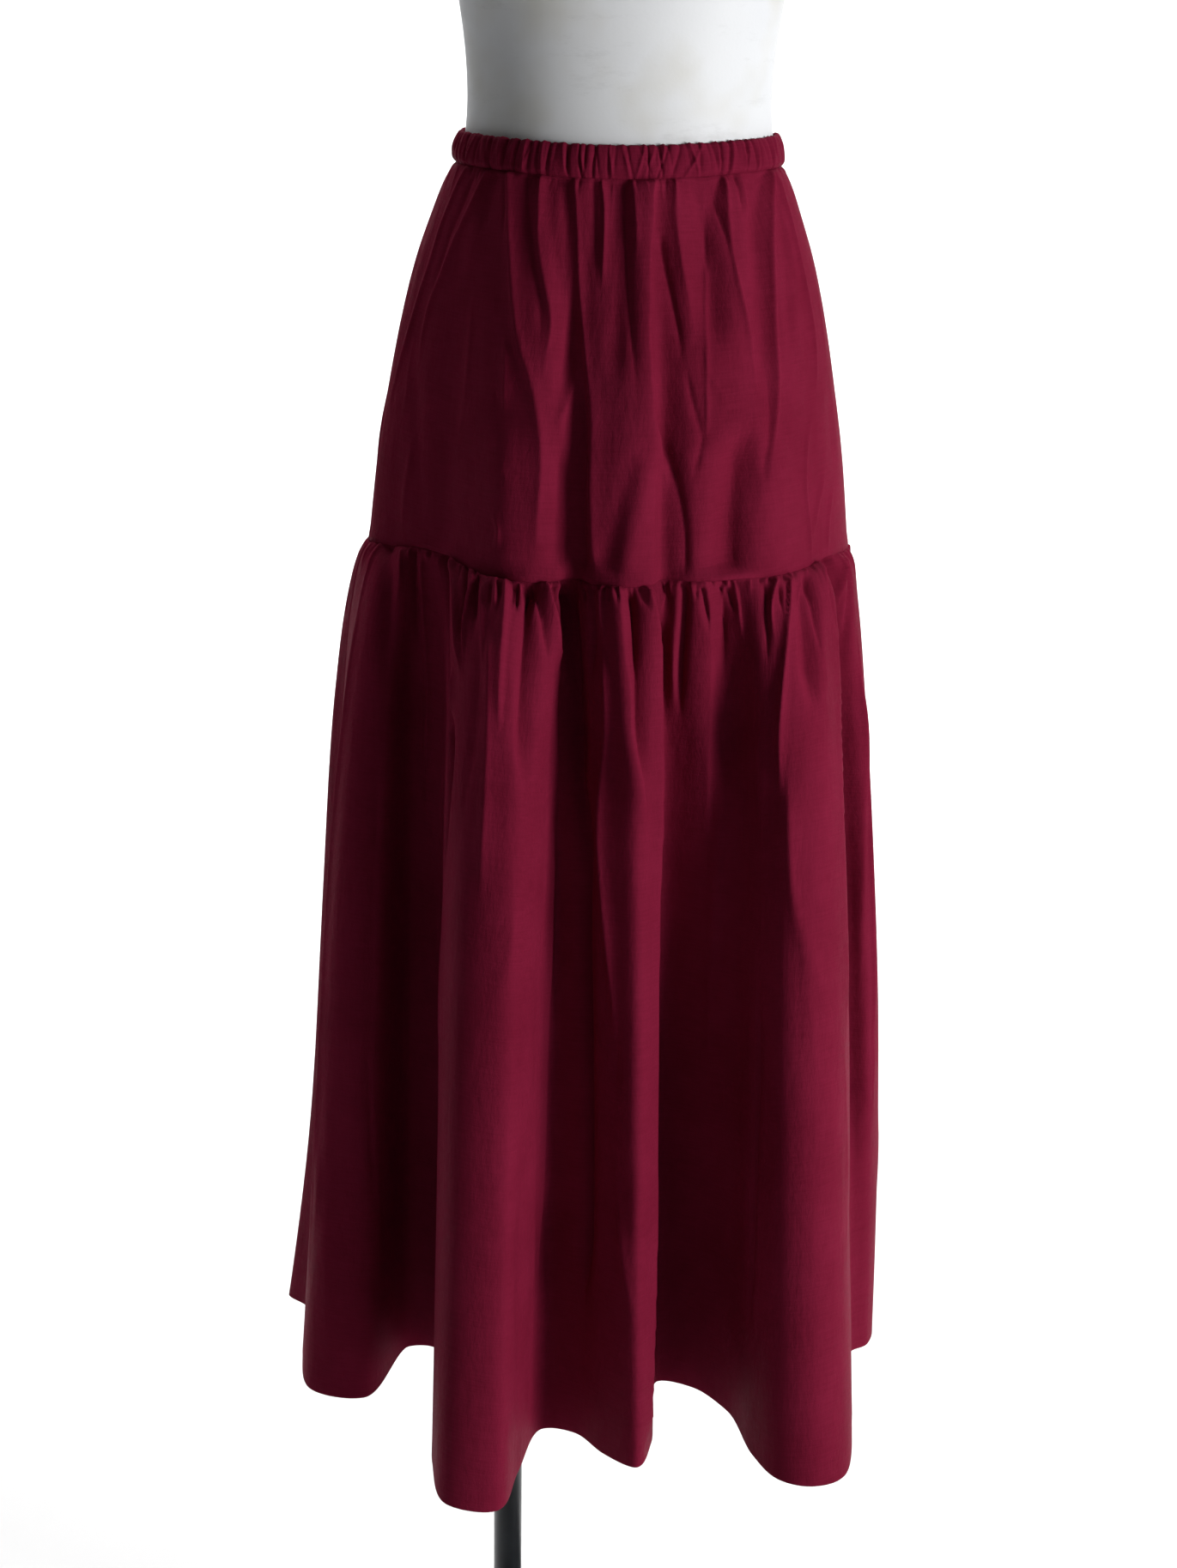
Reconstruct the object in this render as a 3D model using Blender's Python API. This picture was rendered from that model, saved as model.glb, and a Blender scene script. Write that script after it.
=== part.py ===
"""Tiered gathered skirt on a limbless display form with a pole and a round foot.

Metres, Z up. The origin is the centre of the underside of the foot. X runs to the viewer's
right and Y runs away from the viewer, so the front of the skirt faces -Y.
"""

import math

import bmesh
import bpy
import numpy as np

# Main sizes

MM = 0.001
WAIST_TOP = 1.360        # height of the waistband's top edge
BAND_DEPTH = 0.0255      # waistband from top edge to its seam
UPPER_END = 0.2960       # waist top down to the seam between the tiers
LOWER_END = 0.9560       # waist top down to the hem
SEAM_GAP = 0.0003        # space left between neighbouring pieces
CLOTH = 0.0020           # cloth wall, two layers at gathers
WAIST_GATHERS = 70
TIER_GATHERS = 88

# Waistband, centre line of its wall: depth below the top edge, half width, half depth

BAND_RINGS = (
    # below,  half_x, half_y
    (0.0000, 0.1117, 0.0842),
    (0.0040, 0.1124, 0.0850),
    (0.0200, 0.1150, 0.0872),
    (0.0255, 0.1156, 0.0878),
)
WAIST_GATHER = 0.0012    # crest and trough of a waist gather, from the centre line

# Upper tier: share of its height against share of its spread from band to tier seam

UPPER_PROFILE = (
    # down, spread
    (0.00, 0.000),
    (0.05, 0.125),
    (0.12, 0.250),
    (0.24, 0.435),
    (0.38, 0.590),
    (0.55, 0.735),
    (0.76, 0.885),
    (1.00, 1.000),
)

# Folds of the upper tier that run down from the band. Angles are degrees from the front
# centre, positive to the viewer's right. Height and width are millimetres.

UPPER_FOLDS = (
    # at_band, at_seam, height, width, fades_from
    (-58.0, -76.0, 3.0, 9.0, 0.80),
    (-46.0, -60.0, 3.0, 8.0, 0.75),
    (-30.0, -27.0, 5.0, 10.0, 0.85),
    (-17.0, -15.0, -7.0, 9.0, 1.10),
    (-6.0, -4.0, 5.0, 9.0, 1.00),
    (10.0, 9.0, -5.0, 9.0, 1.00),
    (17.0, 17.0, 8.0, 9.0, 1.10),
    (25.0, 27.0, -6.0, 9.0, 1.00),
    (40.0, 43.0, 4.0, 12.0, 0.90),
    (60.0, 57.0, -4.0, 11.0, 0.90),
    (72.0, 64.0, 6.0, 10.0, 0.90),
    (112.0, 106.0, 5.0, 12.0, 0.90),
    (134.0, 132.0, -5.0, 12.0, 1.00),
    (152.0, 150.0, 6.0, 12.0, 0.95),
    (171.0, 172.0, -6.0, 11.0, 1.00),
    (188.0, 190.0, 6.0, 11.0, 0.90),
    (207.0, 208.0, -5.0, 12.0, 1.00),
    (226.0, 228.0, 5.0, 12.0, 0.90),
    (250.0, 248.0, 4.0, 12.0, 0.85),
)

# Folds of the lower tier: each row is one turning line of the cloth, as a plan position in
# millimetres where it leaves the tier seam and where it reaches the hem. The rows go round
# the skirt from the left side across the front, and back across the hidden side. Lift is how
# far that point of the seam or hem is above its level.

LOWER_FOLDS = (
    # name,                seam_x, seam_y, seam_lift, hem_x, hem_y, hem_lift
    ("left side tip",        -181,     14,         0,  -262,    34,        0),
    ("left notch",           -180,     -2,         0,  -242,     2,        4),
    ("fold A outer",         -171,    -17,         2,  -240,   -58,        0),
    ("fold A tip left",      -161,    -28,         3,  -228,  -106,       -3),
    ("fold A tip right",     -151,    -39,         5,  -184,  -116,       -3),
    ("valley A B",           -141,    -49,         7,  -153,   -62,       10),
    ("valley B side",        -120,    -67,         6,  -129,   -70,       12),
    ("fold B left",          -106,    -86,         3,  -125,  -205,        0),
    ("fold B tip left",       -88,   -106,         0,  -112,  -252,       -4),
    ("fold B tip right",      -60,   -121,        -1,   -74,  -256,       -6),
    ("fold B right",          -42,   -118,        -1,   -61,  -210,       -5),
    ("valley B C",            -32,   -112,         0,   -44,  -150,       -7),
    ("fold C root",           -24,   -113,         0,   -18,  -158,       -5),
    ("fold C slope",          -12,   -124,        -1,     4,  -182,       -7),
    ("fold C tip",             10,   -132,        -1,    29,  -203,       -4),
    ("fold C edge",            26,   -127,         0,    40,  -172,       -3),
    ("valley C D left",        34,   -115,         1,    46,  -102,        6),
    ("valley C D middle",      58,   -120,         1,    73,  -109,        6),
    ("valley C D right",       90,   -114,         2,   100,  -137,        3),
    ("fold D left",           106,   -105,         1,   117,  -188,       -2),
    ("fold D tip left",       117,    -97,         1,   134,  -220,       -1),
    ("fold D tip middle",     127,    -87,         1,   160,  -228,       -1),
    ("fold D tip right",      137,    -75,         1,   184,  -212,       -3),
    ("fold D right",          147,    -60,         3,   196,  -145,        4),
    ("valley D E",            155,    -49,         4,   202,   -66,       12),
    ("fold E",                164,    -34,         3,   218,   -50,       11),
    ("right side tip",        172,    -14,         1,   224,    -8,        6),
    ("right notch",           176,     16,         0,   205,    24,        3),
    ("fold F right",          167,     44,         0,   229,    60,        0),
    ("fold F left",           154,     67,         0,   218,    96,       -2),
    ("valley F G right",      139,     82,         2,   152,    82,        8),
    ("valley F G left",       130,     91,         2,   139,   100,        8),
    ("fold G right",          117,    105,         0,   186,   160,        0),
    ("fold G left",            96,    118,         0,   158,   196,       -3),
    ("valley G H right",       79,    122,         2,    88,   132,        6),
    ("valley G H left",        68,    124,         2,    74,   142,        5),
    ("fold H right",           52,    133,         0,    90,   226,       -2),
    ("fold H left",            29,    137,         0,    50,   238,        0),
    ("valley H I right",       13,    133,         2,    22,   157,        5),
    ("valley H I left",         1,    133,         2,    -2,   150,        6),
    ("fold I right",          -15,    138,         0,   -28,   252,        0),
    ("fold I left",           -37,    137,         0,   -70,   250,       -3),
    ("valley I J right",      -53,    129,         2,   -50,   144,        6),
    ("valley I J left",       -64,    126,         2,   -68,   133,        7),
    ("fold J right",          -82,    123,         0,  -128,   200,        0),
    ("fold J left",          -103,    115,         0,  -160,   182,       -2),
    ("valley J K right",     -119,    103,         2,  -122,   116,        7),
    ("valley J K left",      -129,     95,         2,  -140,    96,        8),
    ("fold K right",         -147,     84,         0,  -218,   128,        0),
    ("fold K left",          -160,     66,         0,  -240,   100,       -2),
    ("valley K side",        -170,     42,         1,  -214,    60,        4),
)

# Turning lines that hang in a bow rather than straight, in millimetres towards the middle

LOWER_BOWS = {
    "left side tip": 10,
    "left notch": 4,
    "fold E": -4,
    "right side tip": -6,
}

# Lower tier: share of its height against how far its folds have opened

LOWER_PROFILE = (
    # down, open
    (0.00, 0.000),
    (0.02, 0.100),
    (0.06, 0.200),
    (0.12, 0.305),
    (0.22, 0.435),
    (0.36, 0.565),
    (0.54, 0.705),
    (0.76, 0.840),
    (1.00, 1.000),
)

LEFT_SEAM_ROW = 1        # side seams of both tiers lie on these rows
RIGHT_SEAM_ROW = 27
TIER_GATHER = 0.0014     # crest and trough of a gather of the lower tier
TIER_GATHER_FADE = 0.11  # share of the lower tier over which its gathers die away
WAIST_GATHER_FADE = 0.16
GATHER_DRIFT = 0.6       # how far a gather strays from even spacing, in half gathers
DRIFT_WAVES = ((2.0, 1.0), (6.5, 0.6))           # waves per panel, strength
GATHER_MEAN = 0.72       # mean strength of a gather, and how much it varies
GATHER_VARIES = 0.28
GATHER_BEATS = (1.70, 0.61)                      # radians per half gather
FOLD_GROWS = 0.35        # share of the upper tier over which its folds grow to full height
FOLD_FADES = 0.25        # share over which a fold dies away
FOLD_FLATTENS = 6        # power that flattens every fold just above the tier seam

# Display form: height from the waistband's top edge, half width, half depth, shift to the back

FORM_SECTIONS = (
    # height, half_x, half_y, shift_y
    (-0.2080, 0.1120, 0.0750, 0.004),
    (-0.2030, 0.1230, 0.0840, 0.004),
    (-0.1850, 0.1340, 0.0920, 0.004),
    (-0.1500, 0.1380, 0.0950, 0.004),
    (-0.1050, 0.1330, 0.0935, 0.003),
    (-0.0600, 0.1220, 0.0895, 0.001),
    (-0.0255, 0.1124, 0.0846, 0.000),
    (-0.0040, 0.1090, 0.0815, 0.000),
    (0.0200, 0.1072, 0.0803, 0.000),
    (0.0450, 0.1078, 0.0815, 0.000),
    (0.0750, 0.1109, 0.0845, -0.001),
    (0.1050, 0.1160, 0.0900, -0.003),
    (0.1450, 0.1270, 0.1000, -0.007),
    (0.1850, 0.1390, 0.1080, -0.010),
    (0.2200, 0.1440, 0.1080, -0.009),
    (0.2600, 0.1480, 0.0960, -0.002),
    (0.3000, 0.1530, 0.0810, 0.004),
    (0.3300, 0.1500, 0.0700, 0.008),
    (0.3520, 0.1300, 0.0620, 0.010),
    (0.3700, 0.0950, 0.0560, 0.011),
    (0.3870, 0.0640, 0.0530, 0.010),
    (0.4100, 0.0540, 0.0510, 0.008),
    (0.4380, 0.0520, 0.0500, 0.006),
    (0.4420, 0.0490, 0.0470, 0.006),
)
FORM_SIDES = 32

# Stand

POLE_X = -0.0755         # the pole stands to the left of the form's middle, as shown
POLE_RADIUS = 0.0118
COLLAR_RADIUS = 0.0210
COLLAR_HEIGHT = 0.0260
HUB_RADIUS = 0.0200
HUB_HEIGHT = 0.0300
FOOT_RADIUS = 0.1650
FOOT_HEIGHT = 0.0100
FOOT_BEVEL = 0.0020

# Materials: colour, metallic, roughness

MATERIALS = {
    "skirt_cloth": ((0.150, 0.010, 0.033, 1.0), 0.0, 0.78),
    "band_cloth": ((0.140, 0.009, 0.030, 1.0), 0.0, 0.80),
    "form_shell": ((0.740, 0.745, 0.740, 1.0), 0.0, 0.38),
    "stand_black": ((0.022, 0.023, 0.026, 1.0), 0.35, 0.36),
}


def clear_scene():
    for thing in list(bpy.data.objects):
        bpy.data.objects.remove(thing, do_unlink=True)
    for store in (bpy.data.meshes, bpy.data.materials):
        for item in list(store):
            store.remove(item)


def make_material(name):
    color, metallic, roughness = MATERIALS[name]
    material = bpy.data.materials.new(name)
    material.use_nodes = True
    shader = material.node_tree.nodes["Principled BSDF"]
    shader.inputs["Base Color"].default_value = color
    shader.inputs["Metallic"].default_value = metallic
    shader.inputs["Roughness"].default_value = roughness
    material.diffuse_color = color
    return material


def add_solid(name, points, faces, material_name):
    """One named object from a closed surface, with its normals turned outward."""
    mesh = bpy.data.meshes.new(name)
    mesh.from_pydata([tuple(p) for p in points], [], faces)
    work = bmesh.new()
    work.from_mesh(mesh)
    bmesh.ops.recalc_face_normals(work, faces=work.faces)
    work.to_mesh(mesh)
    work.free()
    mesh.materials.append(MATERIAL_OF[material_name])
    solid = bpy.data.objects.new(name, mesh)
    bpy.context.scene.collection.objects.link(solid)
    return solid


# Curves round the skirt

def spline_point(knots, at):
    """Points on a closed centripetal spline through knots. at counts knots and their parts."""
    count = len(knots)
    first = np.floor(at).astype(int)
    part = (at - first)[:, None]
    p0, p1, p2, p3 = (knots[(first + step) % count] for step in (-1, 0, 1, 2))
    t1 = np.sqrt(np.linalg.norm(p1 - p0, axis=1))[:, None]
    t2 = t1 + np.sqrt(np.linalg.norm(p2 - p1, axis=1))[:, None]
    t3 = t2 + np.sqrt(np.linalg.norm(p3 - p2, axis=1))[:, None]
    t = t1 + (t2 - t1) * part
    a1 = (t1 - t) / t1 * p0 + t / t1 * p1
    a2 = (t2 - t) / (t2 - t1) * p1 + (t - t1) / (t2 - t1) * p2
    a3 = (t3 - t) / (t3 - t2) * p2 + (t - t2) / (t3 - t2) * p3
    b1 = (t2 - t) / t2 * a1 + t / t2 * a2
    b2 = (t3 - t) / (t3 - t1) * a2 + (t - t1) / (t3 - t1) * a3
    return (t2 - t) / (t2 - t1) * b1 + (t - t1) / (t2 - t1) * b2


def outward(points):
    """Unit plan normals of a closed run of points that goes round with its outside to the left
    of a viewer above it, turned so that they point away from the middle on the whole."""
    step = np.roll(points, -1, axis=0) - np.roll(points, 1, axis=0)
    normal = np.stack([step[:, 1], -step[:, 0]], axis=1)
    normal /= np.linalg.norm(normal, axis=1)[:, None]
    if (normal * points).sum() < 0.0:
        normal = -normal
    return normal


def even_stations(knots, half):
    """Places on the spline for two panels of half columns each, from side seam to side seam.
    They are evenly spaced but for a slow drift, so that no two gathers are alike."""
    places = []
    for start, end in ((LEFT_SEAM_ROW, RIGHT_SEAM_ROW),
                       (RIGHT_SEAM_ROW, LEFT_SEAM_ROW + len(knots))):
        fine = np.linspace(start, end, 2001)
        steps = np.linalg.norm(np.diff(spline_point(knots, fine), axis=0), axis=1)
        length = np.concatenate([[0.0], np.cumsum(steps)])
        share = np.arange(half) / half
        drift = sum(strength * np.sin(waves * 2 * math.pi * share) for waves, strength in DRIFT_WAVES)
        share = share + GATHER_DRIFT / half * drift
        places.append(np.interp(share * length[-1], length, fine))
    return np.concatenate(places)


def gather_wave(count):
    """Crest and trough by turns, each a little stronger or weaker than its neighbours."""
    index = np.arange(count)
    beat = np.sin(GATHER_BEATS[0] * index) * np.cos(GATHER_BEATS[1] * index)
    strength = GATHER_MEAN + GATHER_VARIES * beat
    return np.where(index % 2 == 0, 1.0, -1.0) * strength


def fold_ends():
    """Plan position and lift of each turning line, at the tier seam and at the hem."""
    table = np.array([row[1:] for row in LOWER_FOLDS], dtype=float) * MM
    return table[:, 0:3], table[:, 3:6]


def lift_at(at, lifts):
    return np.interp(at, np.arange(len(lifts) + 2), np.append(lifts, lifts[:2]))


def lower_rings():
    """Plan position, outward direction and height for each row and station."""
    seam, hem = fold_ends()
    at = even_stations(seam[:, :2], TIER_GATHERS)
    wave = gather_wave(len(at)) * TIER_GATHER
    bows = np.array([LOWER_BOWS.get(row[0], 0) for row in LOWER_FOLDS]) * MM
    inward = -hem[:, :2] / np.linalg.norm(hem[:, :2], axis=1)[:, None] * bows[:, None]
    rows = []
    for down, opened in LOWER_PROFILE:
        knots = seam[:, :2] + (hem[:, :2] - seam[:, :2]) * opened
        knots += inward * math.sin(math.pi * down ** 1.5)
        lifts = seam[:, 2] + (hem[:, 2] - seam[:, 2]) * down
        plan = spline_point(knots, at)
        normal = outward(plan)
        fade = max(0.0, 1.0 - down / TIER_GATHER_FADE) ** 1.5
        plan = plan + normal * (wave * fade)[:, None]
        height = WAIST_TOP - UPPER_END - SEAM_GAP - down * (LOWER_END - UPPER_END)
        rows.append((plan, normal, height + lift_at(at, lifts)))
    return rows


def angle_ring(angles, half_x, half_y):
    """Points of an ellipse that lie in the given directions from the middle."""
    reach = 1.0 / np.sqrt((np.sin(angles) / half_x) ** 2 + (np.cos(angles) / half_y) ** 2)
    return np.stack([reach * np.sin(angles), -reach * np.cos(angles)], axis=1)


def waist_stations():
    """Places of the waist gathers on the tier seam's curve, and their plan positions there."""
    seam = fold_ends()[0][:, :2]
    at = even_stations(seam, WAIST_GATHERS)
    return at, spline_point(seam, at)


def directions(plan):
    return np.unwrap(np.arctan2(plan[:, 0], -plan[:, 1]))


def upper_fold_height(angles, down):
    """Sum of the upper tier's folds at one height, as a push along the outward direction."""
    push = np.zeros(len(angles))
    degrees = np.degrees(angles)
    for at_band, at_seam, height, width, fades_from in UPPER_FOLDS:
        middle = at_band + (at_seam - at_band) * down
        away = (degrees - middle + 180.0) % 360.0 - 180.0
        grow = math.sin(min(1.0, down / FOLD_GROWS) * math.pi / 2)
        fade = min(1.0, max(0.0, 1.0 - (down - fades_from) / FOLD_FADES))
        hold = 1.0 - down ** FOLD_FLATTENS
        push += height * MM * grow * fade * hold * np.exp(-(away / (width / 2)) ** 2)
    return push


def upper_rings():
    at, seam_plan = waist_stations()
    angles = directions(seam_plan)
    lift = lift_at(at, fold_ends()[0][:, 2])
    band_plan = angle_ring(angles, BAND_RINGS[-1][1], BAND_RINGS[-1][2])
    wave = gather_wave(len(at)) * WAIST_GATHER
    rows = []
    for down, spread in UPPER_PROFILE:
        plan = band_plan + (seam_plan - band_plan) * spread
        normal = outward(plan)
        fade = max(0.0, 1.0 - down / WAIST_GATHER_FADE) ** 1.2
        push = wave * fade + upper_fold_height(angles, down)
        plan = plan + normal * push[:, None]
        height = WAIST_TOP - BAND_DEPTH - SEAM_GAP - down * (UPPER_END - BAND_DEPTH - SEAM_GAP)
        rows.append((plan, normal, height + lift * down))
    return rows


def band_rings():
    angles = directions(waist_stations()[1])
    wave = gather_wave(len(angles)) * WAIST_GATHER
    rows = []
    for below, half_x, half_y in BAND_RINGS:
        plan = angle_ring(angles, half_x, half_y)
        normal = outward(plan)
        plan = plan + normal * wave[:, None]
        rows.append((plan, normal, np.full(len(angles), WAIST_TOP - below)))
    return rows


# Walls

def wall_points(rows, picks, ends_open):
    """Outer and inner points of a wall, row by row. Open ends stop short of the side seam."""
    outer, inner = [], []
    for plan, normal, height in rows:
        run = plan[picks].copy()
        if ends_open:
            for end, beside in ((0, 1), (-1, -2)):
                toward = run[beside] - run[end]
                run[end] += toward / np.linalg.norm(toward) * SEAM_GAP / 2
        side = normal[picks] * CLOTH / 2
        z = height[picks][:, None]
        outer.append(np.hstack([run + side, z]))
        inner.append(np.hstack([run - side, z]))
    return np.array(outer), np.array(inner)


def add_wall(name, rows, picks, closed, material_name):
    """A closed solid for a wall of cloth through its rings."""
    outer, inner = wall_points(rows, picks, not closed)
    deep, wide = outer.shape[:2]
    points = np.concatenate([outer.reshape(-1, 3), inner.reshape(-1, 3)])
    shift = deep * wide
    faces = []
    columns = wide if closed else wide - 1
    for row in range(deep - 1):
        for column in range(columns):
            beside = (column + 1) % wide
            a, b = row * wide + column, row * wide + beside
            c, d = a + wide, b + wide
            faces.append((a, c, d, b))
            faces.append((a + shift, b + shift, d + shift, c + shift))
    for row in (0, deep - 1):
        for column in range(columns):
            a, b = row * wide + column, row * wide + (column + 1) % wide
            faces.append((a, b, b + shift, a + shift))
    if not closed:
        for column in (0, wide - 1):
            for row in range(deep - 1):
                a = row * wide + column
                c = a + wide
                faces.append((a, a + shift, c + shift, c))
    return add_solid(name, points, faces, material_name)


def add_turned(name, sections, sides, middle, material_name):
    """A solid through level ellipses: height, half width, half depth, shift to the back."""
    points, faces = [], []
    turn = np.arange(sides) * 2.0 * math.pi / sides
    for z, half_x, half_y, shift_y in sections:
        for angle in turn:
            points.append((middle[0] + half_x * math.sin(angle),
                           middle[1] + shift_y - half_y * math.cos(angle), z))
    for level in range(len(sections) - 1):
        for side in range(sides):
            a = level * sides + side
            b = level * sides + (side + 1) % sides
            faces.append((a, b, b + sides, a + sides))
    faces.append(tuple(range(sides)))
    faces.append(tuple(range((len(sections) - 1) * sides, len(sections) * sides)))
    return add_solid(name, points, faces, material_name)


def add_rod(name, bottom, top, radius, middle, sides, bevel=0.0):
    """An upright rod or disc, with its upper edge cut back by bevel."""
    sections = [(bottom, radius, radius, 0.0), (top - bevel, radius, radius, 0.0)]
    if bevel:
        sections.append((top, radius - bevel, radius - bevel, 0.0))
    return add_turned(name, sections, sides, middle, "stand_black")


def build_skirt():
    band = band_rings()
    add_wall("waistband", band, np.arange(2 * WAIST_GATHERS), True, "band_cloth")
    for tier, rows, half in (("upper", upper_rings(), WAIST_GATHERS),
                             ("lower", lower_rings(), TIER_GATHERS)):
        whole = 2 * half
        add_wall(tier + "_front", rows, np.arange(half + 1), False, "skirt_cloth")
        add_wall(tier + "_back", rows, np.arange(half, whole + 1) % whole, False, "skirt_cloth")


def build_stand():
    sections = [(WAIST_TOP + z, half_x, half_y, shift) for z, half_x, half_y, shift in FORM_SECTIONS]
    add_turned("form_torso", sections, FORM_SIDES, (0.0, 0.0), "form_shell")
    form_bottom = WAIST_TOP + FORM_SECTIONS[0][0]
    pole = (POLE_X, 0.0)
    collar_top = form_bottom - SEAM_GAP
    collar_bottom = collar_top - COLLAR_HEIGHT
    hub_bottom = FOOT_HEIGHT + SEAM_GAP
    hub_top = hub_bottom + HUB_HEIGHT
    add_rod("stand_collar", collar_bottom, collar_top, COLLAR_RADIUS, pole, 24)
    add_rod("stand_pole", hub_top + SEAM_GAP, collar_bottom - SEAM_GAP, POLE_RADIUS, pole, 20)
    add_rod("stand_hub", hub_bottom, hub_top, HUB_RADIUS, pole, 24, FOOT_BEVEL)
    add_rod("stand_foot", 0.0, FOOT_HEIGHT, FOOT_RADIUS, (0.0, 0.0), 48, FOOT_BEVEL)


clear_scene()
MATERIAL_OF = {name: make_material(name) for name in MATERIALS}
build_skirt()
build_stand()
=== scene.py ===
import math

import bpy
import numpy as np
from mathutils import Matrix, Vector


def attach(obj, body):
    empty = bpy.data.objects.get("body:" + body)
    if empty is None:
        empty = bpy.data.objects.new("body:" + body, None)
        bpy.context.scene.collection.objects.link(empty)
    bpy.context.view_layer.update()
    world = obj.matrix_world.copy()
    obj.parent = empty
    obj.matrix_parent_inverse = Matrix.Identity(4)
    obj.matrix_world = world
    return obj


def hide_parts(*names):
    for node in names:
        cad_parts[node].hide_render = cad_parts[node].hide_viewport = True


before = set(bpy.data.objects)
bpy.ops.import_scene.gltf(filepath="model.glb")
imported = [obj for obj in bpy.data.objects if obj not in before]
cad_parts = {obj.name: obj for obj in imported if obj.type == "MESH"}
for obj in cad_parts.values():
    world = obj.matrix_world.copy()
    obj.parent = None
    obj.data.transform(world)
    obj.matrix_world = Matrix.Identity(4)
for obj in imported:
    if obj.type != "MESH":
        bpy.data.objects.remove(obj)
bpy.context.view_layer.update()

# Sizes and tables shared with the part's source

MM = 0.001
WAIST_TOP = 1.360
BAND_DEPTH = 0.0255
UPPER_END = 0.2960
LOWER_END = 0.9560
POLE_X = -0.0755

BAND_RINGS = (
    # below,  half_x, half_y
    (0.0000, 0.1117, 0.0842),
    (0.0040, 0.1124, 0.0850),
    (0.0200, 0.1150, 0.0872),
    (0.0255, 0.1156, 0.0878),
)

UPPER_PROFILE = (
    # down, spread
    (0.00, 0.000),
    (0.05, 0.125),
    (0.12, 0.250),
    (0.24, 0.435),
    (0.38, 0.590),
    (0.55, 0.735),
    (0.76, 0.885),
    (1.00, 1.000),
)

LOWER_FOLDS = (
    # name,                seam_x, seam_y, seam_lift, hem_x, hem_y, hem_lift
    ("left side tip",        -181,     14,         0,  -262,    34,        0),
    ("left notch",           -180,     -2,         0,  -242,     2,        4),
    ("fold A outer",         -171,    -17,         2,  -240,   -58,        0),
    ("fold A tip left",      -161,    -28,         3,  -228,  -106,       -3),
    ("fold A tip right",     -151,    -39,         5,  -184,  -116,       -3),
    ("valley A B",           -141,    -49,         7,  -153,   -62,       10),
    ("valley B side",        -120,    -67,         6,  -129,   -70,       12),
    ("fold B left",          -106,    -86,         3,  -125,  -205,        0),
    ("fold B tip left",       -88,   -106,         0,  -112,  -252,       -4),
    ("fold B tip right",      -60,   -121,        -1,   -74,  -256,       -6),
    ("fold B right",          -42,   -118,        -1,   -61,  -210,       -5),
    ("valley B C",            -32,   -112,         0,   -44,  -150,       -7),
    ("fold C root",           -24,   -113,         0,   -18,  -158,       -5),
    ("fold C slope",          -12,   -124,        -1,     4,  -182,       -7),
    ("fold C tip",             10,   -132,        -1,    29,  -203,       -4),
    ("fold C edge",            26,   -127,         0,    40,  -172,       -3),
    ("valley C D left",        34,   -115,         1,    46,  -102,        6),
    ("valley C D middle",      58,   -120,         1,    73,  -109,        6),
    ("valley C D right",       90,   -114,         2,   100,  -137,        3),
    ("fold D left",           106,   -105,         1,   117,  -188,       -2),
    ("fold D tip left",       117,    -97,         1,   134,  -220,       -1),
    ("fold D tip middle",     127,    -87,         1,   160,  -228,       -1),
    ("fold D tip right",      137,    -75,         1,   184,  -212,       -3),
    ("fold D right",          147,    -60,         3,   196,  -145,        4),
    ("valley D E",            155,    -49,         4,   202,   -66,       12),
    ("fold E",                164,    -34,         3,   218,   -50,       11),
    ("right side tip",        172,    -14,         1,   224,    -8,        6),
    ("right notch",           176,     16,         0,   205,    24,        3),
    ("fold F right",          167,     44,         0,   229,    60,        0),
    ("fold F left",           154,     67,         0,   218,    96,       -2),
    ("valley F G right",      139,     82,         2,   152,    82,        8),
    ("valley F G left",       130,     91,         2,   139,   100,        8),
    ("fold G right",          117,    105,         0,   186,   160,        0),
    ("fold G left",            96,    118,         0,   158,   196,       -3),
    ("valley G H right",       79,    122,         2,    88,   132,        6),
    ("valley G H left",        68,    124,         2,    74,   142,        5),
    ("fold H right",           52,    133,         0,    90,   226,       -2),
    ("fold H left",            29,    137,         0,    50,   238,        0),
    ("valley H I right",       13,    133,         2,    22,   157,        5),
    ("valley H I left",         1,    133,         2,    -2,   150,        6),
    ("fold I right",          -15,    138,         0,   -28,   252,        0),
    ("fold I left",           -37,    137,         0,   -70,   250,       -3),
    ("valley I J right",      -53,    129,         2,   -50,   144,        6),
    ("valley I J left",       -64,    126,         2,   -68,   133,        7),
    ("fold J right",          -82,    123,         0,  -128,   200,        0),
    ("fold J left",          -103,    115,         0,  -160,   182,       -2),
    ("valley J K right",     -119,    103,         2,  -122,   116,        7),
    ("valley J K left",      -129,     95,         2,  -140,    96,        8),
    ("fold K right",         -147,     84,         0,  -218,   128,        0),
    ("fold K left",          -160,     66,         0,  -240,   100,       -2),
    ("valley K side",        -170,     42,         1,  -214,    60,        4),
)

LOWER_BOWS = {
    "left side tip": 10,
    "left notch": 4,
    "fold E": -4,
    "right side tip": -6,
}

LOWER_PROFILE = (
    # down, open
    (0.00, 0.000),
    (0.02, 0.100),
    (0.06, 0.200),
    (0.12, 0.305),
    (0.22, 0.435),
    (0.36, 0.565),
    (0.54, 0.705),
    (0.76, 0.840),
    (1.00, 1.000),
)

LEFT_SEAM_ROW = 1
RIGHT_SEAM_ROW = 27

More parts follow.
